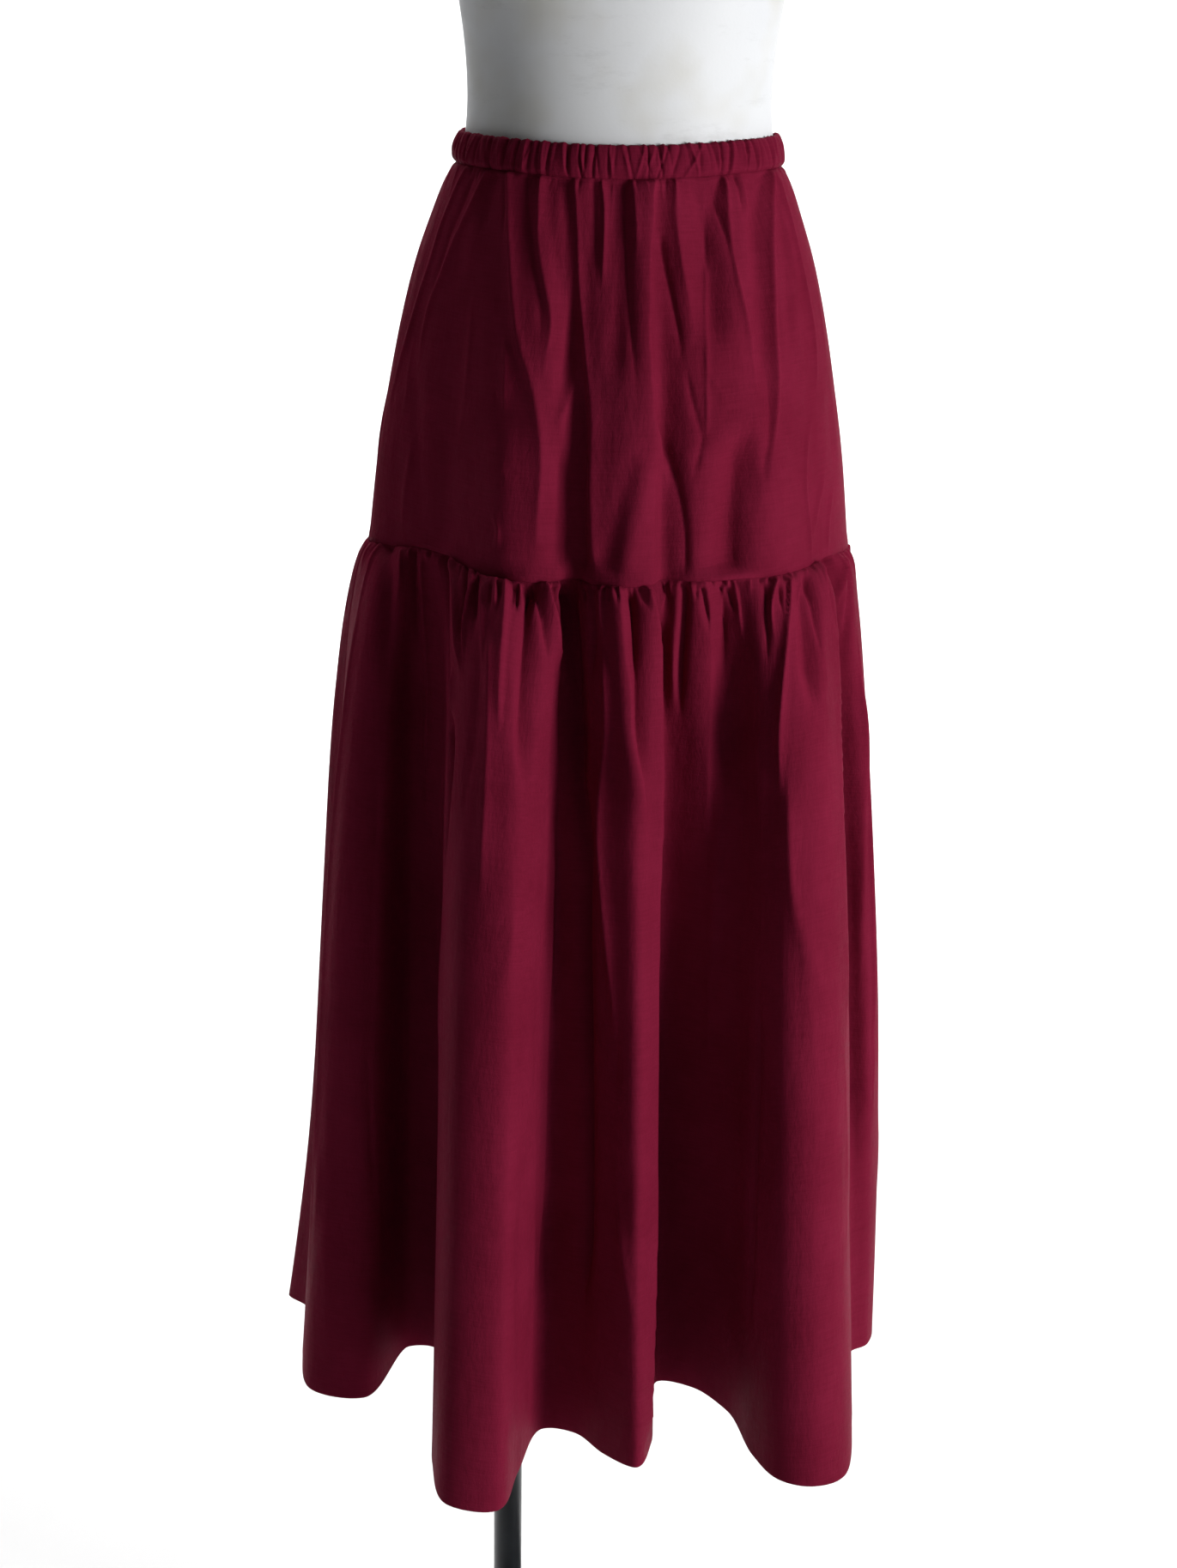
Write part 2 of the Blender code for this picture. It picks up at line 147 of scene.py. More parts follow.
FORM_SECTIONS = (
    # height, half_x, half_y, shift_y
    (-0.2080, 0.1120, 0.0750, 0.004),
    (-0.2030, 0.1230, 0.0840, 0.004),
    (-0.1850, 0.1340, 0.0920, 0.004),
    (-0.1500, 0.1380, 0.0950, 0.004),
    (-0.1050, 0.1330, 0.0935, 0.003),
    (-0.0600, 0.1220, 0.0895, 0.001),
    (-0.0255, 0.1124, 0.0846, 0.000),
    (-0.0040, 0.1090, 0.0815, 0.000),
    (0.0200, 0.1072, 0.0803, 0.000),
    (0.0450, 0.1078, 0.0815, 0.000),
    (0.0750, 0.1109, 0.0845, -0.001),
    (0.1050, 0.1160, 0.0900, -0.003),
    (0.1450, 0.1270, 0.1000, -0.007),
    (0.1850, 0.1390, 0.1080, -0.010),
    (0.2200, 0.1440, 0.1080, -0.009),
    (0.2600, 0.1480, 0.0960, -0.002),
    (0.3000, 0.1530, 0.0810, 0.004),
    (0.3300, 0.1500, 0.0700, 0.008),
    (0.3520, 0.1300, 0.0620, 0.010),
    (0.3700, 0.0950, 0.0560, 0.011),
    (0.3870, 0.0640, 0.0530, 0.010),
    (0.4100, 0.0540, 0.0510, 0.008),
    (0.4380, 0.0520, 0.0500, 0.006),
    (0.4420, 0.0490, 0.0470, 0.006),
)

# A gathered tier is a straight strip, so it is as wide as its lower edge, which isn't gathered.

# The stand in the render

FOOT_HEIGHT = 0.0100
HUB_HEIGHT = 0.0300
HUB_RADIUS = 0.0200
POLE_RADIUS = 0.0118
COLLAR_HEIGHT = 0.0260
COLLAR_RADIUS = 0.0210

FOOT_SECTIONS = (
    # height, half_x, half_y, shift_y
    (0.0000, 0.1640, 0.1640, 0.0),
    (0.0006, 0.1648, 0.1648, 0.0),
    (0.0015, 0.1650, 0.1650, 0.0),
    (0.0080, 0.1650, 0.1650, 0.0),
    (0.0092, 0.1645, 0.1645, 0.0),
    (0.0100, 0.1630, 0.1630, 0.0),
    (0.0100, 0.0900, 0.0900, 0.0),
    (0.0100, 0.0260, 0.0260, 0.0),
)

# Cloth in the render

CLOTH = 0.0009           # thickness of the shown cloth
BAND_CLOTH = 0.0022      # the waistband: two layers over elastic
SEAM_GAP = 0.0003        # space left between neighbouring pieces of the stand
SEAM_SHUT = 0.00002      # space left between two panels at their sewn side seam
FORM_CLEAR = 0.0013      # least space between the form and the middle of the cloth
FORM_SOFT = 0.006        # how softly that limit comes in, as a share of the form's half width
HEM_DEPTH = 0.009        # turned hem
HEM_EXTRA = 0.0006       # what the turned part adds on the inside
EDGE_ROUND = 0.9         # how far a cloth edge bulges, as a share of half its thickness
TUCK = 0.0030            # how far the lower tier runs up behind the upper one
FROM_SEAM = 0.025        # a crease with no longer fade than this starts in full at its seam
UPPER_COLUMNS = 420      # columns of each panel
LOWER_COLUMNS = 560
HEM_SHARE = 0.25         # share of the hem's length in the spacing of the lower columns

# The long gathers seen in the photo are in the tables of creases. The tables of pleats give how
# many would go round, and the least and greatest depth, width and length in millimetres, where a
# ridge has a negative depth. On the tiers, rows no longer than SHORT_PLEAT are small puckers all
# round and the others are only on the hidden side. Waves are the wider, softer folds that the
# gathers run into: how many would go round, their height, and where they are full and gone.

HIDDEN = (26.5, 51.5)    # places of the side that the photo doesn't show
SHORT_PLEAT = 60         # millimetres

TIER_PLEATS = (
    # round, depth, width, length
    (70, (1.6, 3.4), (1.0, 1.6), (6, 26)),
    (84, (-2.8, -1.3), (1.1, 1.7), (8, 60)),
    (94, (3.6, 7.0), (1.2, 2.4), (18, 95)),
    (34, (3.6, 7.5), (1.8, 3.4), (60, 250)),
)
TIER_WAVES = (
    # round, height, full, end
    (47, 1.7, 16, 130),
    (25, 2.4, 80, 330),
)
WAIST_PLEATS = (
    # round, depth, width, length
    (64, (0.8, 1.9), (0.9, 1.4), (4, 20)),
    (60, (-1.6, -0.8), (1.0, 1.5), (5, 40)),
    (76, (1.4, 3.2), (1.2, 2.2), (10, 70)),
    (26, (1.6, 3.6), (1.6, 3.0), (40, 150)),
)
WAIST_WAVES = (
    # round, height, full, end
    (38, 1.0, 12, 80),
    (19, 1.2, 50, 170),
)
BAND_PLEATS = (
    # round, depth, width, length
    (70, (1.0, 3.0), (0.9, 1.7), (400, 900)),
    (52, (-2.0, -0.8), (0.9, 1.6), (400, 900)),
    (52, (0.6, 2.0), (0.8, 1.5), (14, 60)),
)
BAND_SAG = 0.0042        # how far the band's top edge sags in the middle of the front
BAND_RISE = 0.0050       # how far its lower edge rises at the sides
BAND_LEAN = 0.20         # how far a gather of the band leans, as a share of its height

# Steps between the rows of points of each tier, in millimetres, by depth under its seam

UPPER_SPACING = (
    # depth, step
    (0, 1.2),
    (12, 1.8),
    (60, 3.8),
    (300, 4.0),
)
LOWER_SPACING = (
    # depth, step
    (-3, 1.5),
    (0, 0.9),
    (6, 1.8),
    (30, 4.2),
    (120, 9.0),
    (300, 12.0),
    (560, 13.0),
    (640, 9.0),
    (648, 1.9),
    (700, 1.9),
)

# How far the lower tier stands off its plain form just below the seam, in millimetres

TIER_PUFF = (
    # below, out
    (-9.0, -1.2),
    (0.0, -0.8),
    (1.2, 0.4),
    (5.0, 1.4),
    (26.0, 1.4),
    (110.0, 0.0),
    (700.0, 0.0),
)

# Creases: each runs through points given as (place, down), where place counts the rows of
# LOWER_FOLDS round the skirt and down is the share of the tier's height. Height and width are
# millimetres, and a groove has a negative height. A step is a lap that falls off sharply to the
# viewer's right. Fades are shares of the crease's length.

UPPER_CREASES = (
    # kind, height, width, fade_in, fade_out, points
    ("ridge", 2.0, 3.0, 0.01, 0.35, ((5.09, 0.006), (4.46, 0.071), (3.77, 0.148), (3.49, 0.225),
        (2.86, 0.325), (2.37, 0.420), (1.71, 0.550), (1.33, 0.663))),
    ("groove", -2.0, 4.0, 0.01, 0.40, ((5.69, 0.006), (5.42, 0.083), (5.01, 0.160), (4.62, 0.243),
        (3.94, 0.343))),
    ("ridge", 2.2, 3.0, 0.01, 0.40, ((6.25, 0.000), (5.98, 0.065), (5.65, 0.124), (5.28, 0.195),
        (4.86, 0.278), (4.08, 0.361), (3.79, 0.438), (3.91, 0.538))),
    ("soft", -1.6, 6.0, 0.05, 0.40, ((6.72, 0.006), (6.66, 0.077), (6.52, 0.166))),
    ("groove", -2.2, 2.0, 0.01, 0.50, ((7.08, 0.000), (7.38, 0.065), (7.54, 0.166))),
    ("ridge", 3.4, 7.0, 0.01, 0.20, ((7.19, 0.000), (7.66, 0.112), (8.06, 0.237), (8.25, 0.320),
        (8.52, 0.414), (8.86, 0.497), (9.17, 0.592), (9.33, 0.698), (9.29, 0.828), (9.31, 0.970))),
    ("groove", -2.4, 5.0, 0.01, 0.40, ((7.94, 0.000), (8.26, 0.089), (8.59, 0.189), (8.86, 0.284),
        (8.99, 0.355), (8.95, 0.432))),
    ("ridge", 2.4, 4.0, 0.01, 0.35, ((8.41, 0.000), (8.53, 0.071), (8.70, 0.172), (9.01, 0.254),
        (9.40, 0.337), (9.32, 0.420), (9.18, 0.491))),
    ("soft", -1.8, 5.0, 0.01, 0.40, ((8.68, 0.000), (8.96, 0.107), (9.52, 0.231), (9.94, 0.337))),
    ("soft", -4.5, 8.0, 0.01, 0.25, ((9.54, 0.000), (9.93, 0.107), (10.31, 0.254), (10.65, 0.355),
        (10.51, 0.462), (9.91, 0.556), (9.66, 0.598))),
    ("ridge", 2.0, 5.0, 0.30, 0.30, ((11.60, 0.408), (11.05, 0.497), (10.30, 0.568), (9.84, 0.621))),
    ("groove", -3.4, 5.0, 0.20, 0.05, ((11.82, 0.462), (12.13, 0.568), (12.28, 0.698), (12.27, 0.834),
        (12.41, 0.976))),
    ("soft", -3.0, 7.0, 0.30, 0.05, ((9.91, 0.609), (10.28, 0.710), (10.20, 0.828), (10.21, 0.976))),
    ("ridge", 4.0, 7.0, 0.01, 0.05, ((9.96, 0.000), (10.70, 0.107), (11.16, 0.231), (11.76, 0.349),
        (12.29, 0.444), (12.65, 0.544), (12.75, 0.692), (12.81, 0.822), (12.99, 0.964))),
    ("groove", -2.6, 4.0, 0.01, 0.50, ((12.09, 0.006), (12.28, 0.083), (12.44, 0.166), (12.58, 0.249))),
    ("ridge", 2.6, 3.0, 0.01, 0.40, ((12.67, 0.000), (12.92, 0.053), (12.99, 0.148), (12.97, 0.231),
        (12.92, 0.290))),
    ("soft", -3.6, 9.0, 0.01, 0.30, ((13.35, 0.000), (13.50, 0.107), (13.59, 0.225), (13.54, 0.391),
        (13.51, 0.521))),
    ("groove", -3.0, 4.0, 0.02, 0.40, ((13.80, 0.012), (13.83, 0.124), (13.91, 0.249), (14.05, 0.349),
        (14.22, 0.456), (14.34, 0.562))),
    ("ridge", 2.0, 4.0, 0.01, 0.50, ((14.20, 0.000), (14.29, 0.083), (14.34, 0.207))),
    ("step", 5.0, 4.5, 0.01, 0.12, ((15.99, 0.000), (15.57, 0.030), (15.27, 0.095), (15.01, 0.183),
        (14.90, 0.290), (14.87, 0.391), (14.96, 0.497), (15.13, 0.598), (15.61, 0.663), (16.13, 0.716),
        (16.26, 0.763))),
    ("soft", 3.0, 10.0, 0.30, 0.05, ((15.06, 0.651), (14.65, 0.734), (14.36, 0.817), (14.02, 0.905),
        (13.86, 0.964))),
    ("groove", -3.2, 4.0, 0.10, 0.35, ((16.00, 0.124), (16.12, 0.189), (16.32, 0.260), (16.51, 0.331),
        (16.65, 0.396), (16.73, 0.462))),
    ("groove", -3.4, 5.0, 0.20, 0.05, ((15.76, 0.592), (16.10, 0.669), (16.36, 0.722), (16.57, 0.787),
        (16.69, 0.864), (16.72, 0.982))),
    ("groove", -2.4, 3.0, 0.20, 0.50, ((16.80, 0.462), (16.98, 0.544), (17.15, 0.621), (17.17, 0.675))),
    ("ridge", 2.6, 6.0, 0.01, 0.40, ((16.84, 0.000), (16.75, 0.083), (16.83, 0.189), (16.98, 0.278),
        (17.11, 0.385))),
    ("groove", -2.4, 3.0, 0.01, 0.40, ((17.76, 0.000), (17.71, 0.065), (17.66, 0.166), (17.53, 0.249))),
    ("ridge", 1.6, 2.4, 0.10, 0.30, ((17.62, 0.189), (17.49, 0.290), (17.38, 0.396), (17.33, 0.503),
        (17.29, 0.609), (17.14, 0.686))),
    ("groove", -2.2, 3.0, 0.20, 0.40, ((17.29, 0.609), (17.10, 0.675), (16.91, 0.740))),
    ("groove", -2.6, 3.4, 0.01, 0.40, ((18.19, 0.000), (18.19, 0.053), (18.40, 0.118), (18.50, 0.189),
        (18.44, 0.272))),
    ("ridge", 2.8, 4.0, 0.01, 0.40, ((19.20, 0.000), (18.88, 0.053), (18.63, 0.136), (18.59, 0.219),
        (18.76, 0.296), (18.96, 0.367), (19.09, 0.456), (19.06, 0.550))),
    ("groove", -2.2, 2.4, 0.01, 0.50, ((20.00, 0.000), (20.08, 0.041), (19.88, 0.101))),
    ("ridge", 2.0, 2.6, 0.01, 0.50, ((20.55, 0.000), (20.51, 0.059), (20.17, 0.142))),
    ("soft", -7.0, 10.0, 0.01, 0.30, ((22.04, 0.000), (21.06, 0.112), (20.48, 0.237), (20.29, 0.343),
        (20.00, 0.467), (19.80, 0.574))),
    ("groove", -3.0, 4.5, 0.30, 0.30, ((20.13, 0.467), (20.00, 0.580), (19.63, 0.686), (19.20, 0.769))),
    ("ridge", 3.4, 3.6, 0.01, 0.30, ((23.70, 0.000), (22.40, 0.095), (21.67, 0.195), (21.20, 0.325),
        (20.88, 0.450), (20.50, 0.556), (19.97, 0.675), (19.48, 0.781))),
    ("ridge", 2.4, 3.4, 0.01, 0.35, ((24.28, 0.000), (24.10, 0.047), (24.17, 0.118), (24.14, 0.207),
        (24.28, 0.308), (24.37, 0.420), (24.17, 0.521), (23.42, 0.604))),
    ("soft", -1.6, 6.0, 0.02, 0.40, ((23.19, 0.077), (22.67, 0.201), (22.17, 0.349), (21.78, 0.497))),
    ("ridge", 1.8, 2.6, 0.30, 0.10, ((23.82, 0.586), (22.61, 0.686), (22.31, 0.793), (22.50, 0.911),
        (22.52, 0.994))),
    ("ridge", 1.8, 2.4, 0.30, 0.30, ((24.33, 0.751), (23.36, 0.846), (22.67, 0.941))),
    ("ridge", 1.6, 2.4, 0.30, 0.20, ((25.04, 0.799), (24.38, 0.888), (24.08, 0.994))),
    ("soft", -15.0, 16.0, 0.30, 0.03, ((18.58, 0.592), (18.04, 0.746), (17.86, 0.834), (17.76, 0.982))),
    ("soft", -8.0, 12.0, 0.01, 0.30, ((17.96, 0.000), (17.71, 0.107), (17.59, 0.249), (17.62, 0.438))),
    ("soft", 3.0, 14.0, 0.30, 0.05, ((8.16, 0.580), (8.34, 0.751), (8.40, 0.982))),
    ("ridge", 1.4, 2.0, 0.20, 0.40, ((17.38, 0.479), (17.63, 0.521), (17.88, 0.556))),
    ("ridge", 1.6, 2.4, 0.30, 0.30, ((7.94, 0.817), (8.16, 0.840), (8.29, 0.870), (8.30, 0.899),
        (8.19, 0.935))),
    ("ridge", 1.0, 2.2, 0.30, 0.40, ((8.26, 0.704), (8.39, 0.734), (8.59, 0.757))),
    ("ridge", 2.6, 7.0, 0.30, 0.30, ((8.02, 0.385), (8.16, 0.467), (8.21, 0.580))),
    ("groove", -1.4, 3.0, 0.30, 0.40, ((7.83, 0.515), (7.98, 0.556), (8.21, 0.574))),
    ("soft", -1.2, 8.0, 0.30, 0.10, ((3.14, 0.450), (4.12, 0.633), (4.78, 0.817), (5.07, 0.959))),
    ("soft", -2.0, 8.0, 0.30, 0.05, ((14.23, 0.645), (13.91, 0.751), (13.63, 0.858), (13.45, 0.970))),
    ("ridge", 4.6, 8.0, 0.05, 0.40, ((29.20, 0.01), (29.60, 0.25), (29.10, 0.52), (28.80, 0.72))),
    ("soft", -5.0, 9.0, 0.10, 0.30, ((31.10, 0.02), (31.00, 0.35), (31.30, 0.80))),
    ("ridge", 6.0, 8.0, 0.08, 0.30, ((33.00, 0.02), (32.60, 0.30), (32.80, 0.62), (32.40, 0.90))),
    ("ridge", 2.4, 4.0, 0.05, 0.50, ((34.20, 0.01), (34.60, 0.16), (35.40, 0.40))),
    ("soft", -6.0, 10.0, 0.10, 0.40, ((36.00, 0.02), (35.80, 0.30), (36.10, 0.74))),
    ("ridge", 3.6, 6.0, 0.05, 0.45, ((37.10, 0.01), (37.30, 0.30), (37.00, 0.56))),
    ("soft", -5.0, 8.0, 0.10, 0.35, ((39.00, 0.02), (38.90, 0.40), (38.60, 0.88))),
    ("ridge", 5.6, 7.0, 0.08, 0.25, ((40.40, 0.02), (40.80, 0.32), (40.60, 0.66), (41.00, 0.95))),
    ("ridge", 2.0, 3.5, 0.05, 0.50, ((41.80, 0.01), (42.30, 0.18), (43.40, 0.44))),
    ("soft", -4.6, 9.0, 0.10, 0.40, ((44.20, 0.02), (44.00, 0.38), (44.30, 0.70))),
    ("ridge", 4.8, 8.0, 0.05, 0.40, ((46.00, 0.01), (45.60, 0.30), (45.90, 0.64))),
    ("ridge", 2.2, 4.0, 0.05, 0.50, ((48.20, 0.01), (48.60, 0.20), (49.60, 0.50))),
)

LOWER_CREASES = (
    # kind, height, width, fade_in, fade_out, points
    ("soft", -5.0, 7.0, 0.02, 0.45, ((2.83, 0.006), (3.57, 0.038), (3.75, 0.074), (3.91, 0.147))),
    ("ridge", 2.6, 3.0, 0.05, 0.50, ((3.98, 0.003), (4.13, 0.038), (3.95, 0.071))),
    ("groove", -5.0, 3.0, 0.02, 0.50, ((4.86, 0.006), (5.07, 0.062), (5.13, 0.130))),
    ("ridge", 3.4, 4.5, 0.05, 0.40, ((5.25, 0.006), (5.32, 0.050), (5.47, 0.118), (5.51, 0.239),
        (5.51, 0.363))),
    ("groove", -11.0, 6.0, 0.02, 0.30, ((6.06, 0.006), (6.32, 0.047), (6.77, 0.127), (7.05, 0.174),
        (6.94, 0.268), (6.85, 0.366))),
    ("step", 4.0, 2.8, 0.02, 0.30, ((6.57, 0.003), (6.99, 0.027), (7.22, 0.065), (7.56, 0.103))),
    ("groove", -8.0, 2.8, 0.02, 0.45, ((7.17, 0.003), (7.29, 0.024), (7.33, 0.056), (7.37, 0.077))),
    ("ridge", 3.6, 2.4, 0.02, 0.35, ((7.55, 0.006), (7.56, 0.027), (7.50, 0.062), (7.51, 0.091))),
    ("groove", -6.0, 3.4, 0.02, 0.50, ((7.69, 0.006), (7.76, 0.024), (7.87, 0.059))),
    ("ridge", 2.2, 3.0, 0.05, 0.50, ((7.90, 0.009), (8.08, 0.038), (8.26, 0.103))),
    ("groove", -4.6, 1.9, 0.02, 0.50, ((8.19, 0.009), (8.25, 0.032))),
    ("step", 3.6, 2.2, 0.02, 0.50, ((8.33, 0.006), (8.39, 0.021), (8.35, 0.032))),
    ("groove", -4.0, 1.8, 0.02, 0.50, ((8.43, 0.006), (8.47, 0.021))),
    ("step", 4.2, 2.6, 0.02, 0.35, ((8.56, 0.006), (8.61, 0.018), (8.61, 0.041), (8.61, 0.100),
        (8.63, 0.150))),
    ("ridge", 4.5, 9.0, 0.10, 0.30, ((8.31, 0.044), (8.39, 0.136), (8.40, 0.230), (8.34, 0.330))),
    ("groove", -4.6, 1.9, 0.02, 0.50, ((8.66, 0.006), (8.68, 0.027))),
    ("groove", -4.2, 1.8, 0.02, 0.50, ((8.76, 0.006), (8.76, 0.027))),
    ("step", 3.6, 2.2, 0.02, 0.50, ((8.84, 0.003), (8.95, 0.018), (8.95, 0.032))),
    ("groove", -4.2, 1.8, 0.02, 0.50, ((9.04, 0.006), (9.07, 0.027))),
    ("groove", -5.2, 3.0, 0.02, 0.50, ((9.24, 0.003), (9.59, 0.021), (9.86, 0.050), (10.15, 0.091))),
    ("soft", -11.0, 9.0, 0.02, 0.35, ((9.05, 0.009), (9.18, 0.065), (9.32, 0.133), (9.35, 0.212))),
    ("step", 5.0, 2.8, 0.02, 0.35, ((9.73, 0.003), (10.10, 0.029), (10.43, 0.062), (10.85, 0.100))),
    ("groove", -5.0, 2.0, 0.02, 0.30, ((10.02, 0.006), (10.42, 0.035), (10.82, 0.077), (11.05, 0.094))),
    ("step", 4.0, 3.0, 0.02, 0.35, ((10.42, 0.006), (10.91, 0.041), (11.23, 0.086), (11.36, 0.142))),
    ("groove", -14.0, 6.0, 0.02, 0.10, ((11.14, 0.015), (11.53, 0.050), (11.63, 0.115), (11.78, 0.189),
        (12.14, 0.263), (12.25, 0.395), (12.35, 0.596), (12.38, 0.699), (12.28, 0.829))),
    ("ridge", 2.8, 3.0, 0.05, 0.40, ((11.96, 0.015), (12.07, 0.059), (12.07, 0.112))),
    ("soft", -6.0, 9.0, 0.02, 0.30, ((10.95, 0.015), (11.46, 0.077), (11.78, 0.150), (12.04, 0.224))),
    ("groove", -3.6, 1.6, 0.02, 0.50, ((12.43, 0.009), (12.47, 0.021))),
    ("groove", -6.0, 4.0, 0.02, 0.40, ((12.90, 0.006), (12.80, 0.053), (12.56, 0.109))),
    ("ridge", 4.6, 6.0, 0.10, 0.40, ((13.18, 0.050), (13.23, 0.139), (12.94, 0.242), (13.18, 0.383),
        (13.46, 0.537))),
    ("ridge", 3.2, 3.0, 0.02, 0.50, ((13.17, 0.006), (13.17, 0.035), (13.31, 0.059))),
    ("groove", -3.4, 1.6, 0.02, 0.50, ((13.53, 0.003), (13.46, 0.018))),
    ("groove", -3.6, 1.6, 0.02, 0.50, ((13.69, 0.003), (13.72, 0.018))),
    ("step", 7.0, 4.0, 0.02, 0.35, ((13.81, 0.006), (13.82, 0.029), (13.85, 0.065), (13.95, 0.100),
        (13.97, 0.145), (14.22, 0.209), (14.59, 0.277))),
    ("groove", -4.0, 3.0, 0.02, 0.40, ((14.01, 0.006), (14.08, 0.024), (14.19, 0.050), (14.25, 0.100))),
    ("soft", -7.0, 7.0, 0.02, 0.35, ((14.11, 0.012), (14.13, 0.065), (14.19, 0.127), (14.36, 0.209))),
    ("groove", -5.0, 2.6, 0.02, 0.50, ((14.45, 0.003), (14.60, 0.015), (14.84, 0.027))),
    ("step", 4.5, 4.0, 0.02, 0.03, ((14.78, 0.006), (14.99, 0.029), (15.11, 0.071), (15.11, 0.201),
        (14.94, 0.389), (14.92, 0.590), (14.90, 0.799), (14.56, 0.982))),
    ("groove", -7.0, 3.2, 0.02, 0.35, ((15.44, 0.003), (15.50, 0.021), (15.91, 0.062), (16.03, 0.121),
        (15.99, 0.180))),
    ("ridge", 3.2, 2.2, 0.02, 0.50, ((16.08, 0.003), (15.81, 0.021), (15.61, 0.032))),
    ("step", 4.0, 2.8, 0.02, 0.35, ((16.59, 0.009), (16.52, 0.044), (16.42, 0.091), (16.38, 0.142))),
    ("groove", -6.5, 3.4, 0.02, 0.40, ((16.68, 0.009), (16.64, 0.038), (16.55, 0.083), (16.51, 0.159))),
    ("groove", -3.4, 1.6, 0.02, 0.50, ((17.00, 0.006), (16.97, 0.021))),
    ("groove", -5.6, 2.4, 0.02, 0.50, ((17.12, 0.009), (17.17, 0.027), (17.28, 0.059))),
    ("step", 3.0, 4.0, 0.02, 0.40, ((17.24, 0.006), (17.28, 0.024), (17.30, 0.056), (17.30, 0.118),
        (17.25, 0.195), (17.21, 0.295))),
    ("groove", -5.0, 3.0, 0.02, 0.50, ((17.56, 0.012), (17.57, 0.050), (17.54, 0.118))),
    ("ridge", 2.6, 2.2, 0.02, 0.50, ((17.63, 0.009), (17.54, 0.027), (17.61, 0.050))),
    ("groove", -4.4, 2.4, 0.02, 0.50, ((17.70, 0.012), (17.86, 0.041))),
    ("step", 2.6, 2.6, 0.02, 0.50, ((17.90, 0.012), (17.95, 0.044), (18.03, 0.071))),
    ("soft", -10.0, 14.0, 0.02, 0.40, ((17.70, 0.015), (17.68, 0.080), (17.65, 0.156), (17.62, 0.245))),
    ("groove", -4.4, 2.6, 0.02, 0.50, ((19.00, 0.009), (19.06, 0.038), (19.07, 0.091))),
    ("ridge", 4.0, 2.6, 0.02, 0.50, ((19.66, 0.006), (19.29, 0.024), (19.30, 0.041), (19.62, 0.065))),
    ("groove", -4.6, 2.4, 0.02, 0.50, ((19.92, 0.012), (19.94, 0.035))),
    ("ridge", 4.8, 3.4, 0.02, 0.30, ((20.57, 0.009), (20.22, 0.041), (20.04, 0.074), (19.85, 0.118),
        (19.70, 0.224))),
    ("groove", -4.4, 2.4, 0.02, 0.50, ((20.41, 0.012), (20.12, 0.041))),
    ("ridge", 2.6, 2.4, 0.02, 0.50, ((21.45, 0.012), (21.32, 0.029))),
    ("groove", -6.0, 3.4, 0.02, 0.50, ((21.80, 0.009), (21.96, 0.024), (21.99, 0.047), (21.96, 0.088))),
    ("soft", -9.0, 9.0, 0.02, 0.40, ((21.46, 0.021), (21.36, 0.077), (21.31, 0.139))),
    ("step", 3.6, 4.0, 0.02, 0.25, ((22.87, 0.012), (22.67, 0.041), (22.96, 0.083), (22.94, 0.130),
        (22.62, 0.198), (22.45, 0.286), (22.48, 0.401), (22.39, 0.543))),
    ("groove", -7.0, 3.0, 0.02, 0.45, ((24.02, 0.015), (23.46, 0.044), (23.19, 0.080))),
    ("ridge", 3.6, 2.4, 0.02, 0.40, ((25.27, 0.009), (24.38, 0.050), (23.77, 0.091))),
    ("groove", -5.0, 3.0, 0.02, 0.50, ((25.39, 0.018), (24.94, 0.059), (24.29, 0.121))),
    ("ridge", 4.0, 3.4, 0.15, 0.20, ((10.88, 0.245), (10.85, 0.360), (10.80, 0.478), (10.80, 0.602),
        (10.79, 0.705), (10.76, 0.811))),
    ("groove", -3.6, 2.6, 0.20, 0.20, ((10.65, 0.357), (10.56, 0.472), (10.54, 0.593), (10.61, 0.699),
        (10.60, 0.805), (10.19, 0.847))),
    ("groove", -5.0, 5.0, 0.20, 0.20, ((3.74, 0.177), (3.81, 0.292), (3.84, 0.440), (3.97, 0.646),
        (4.18, 0.811))),
    ("soft", -2.2, 4.0, 0.40, 0.40, ((13.30, 0.484), (13.39, 0.513), (13.36, 0.540))),
    ("ridge", 2.8, 6.0, 0.30, 0.50, ((13.37, 0.678), (13.62, 0.758), (13.96, 0.826))),
    ("groove", -6.0, 6.0, 0.30, 0.20, ((18.83, 0.392), (18.86, 0.540), (18.78, 0.696), (18.79, 0.864))),
    ("ridge", 4.0, 8.0, 0.15, 0.40, ((20.06, 0.198), (20.48, 0.360), (21.79, 0.469))),
    ("ridge", 3.0, 5.0, 0.10, 0.40, ((7.05, 0.103), (7.00, 0.156), (6.73, 0.206))),
    ("soft", -17.0, 12.0, 0.15, 0.30, ((24.10, 0.080), (24.10, 0.200), (24.15, 0.400), (24.20, 0.600),
        (24.20, 0.800))),
    ("soft", -13.0, 11.0, 0.02, 0.40, ((23.95, 0.002), (23.95, 0.080), (24.05, 0.150))),
    ("step", 4.6, 3.0, 0.02, 0.35, ((23.35, 0.004), (23.25, 0.050), (23.30, 0.110))),
    ("ridge", 3.0, 3.0, 0.10, 0.30, ((25.10, 0.120), (25.20, 0.300), (25.20, 0.500), (25.10, 0.720))),
    ("ridge", 3.4, 7.0, 0.15, 0.25, ((1.95, 0.02), (2.30, 0.177), (2.30, 0.363), (2.60, 0.605),
        (2.60, 0.764), (2.41, 0.93))),
    ("ridge", 2.9, 5.0, 0.20, 0.35, ((3.75, 0.16), (3.84, 0.44), (3.88, 0.543), (4.14, 0.755),
        (4.30, 0.93))),
    ("soft", -3.1, 7.0, 0.20, 0.40, ((23.43, 0.15), (23.20, 0.327), (22.95, 0.52))),
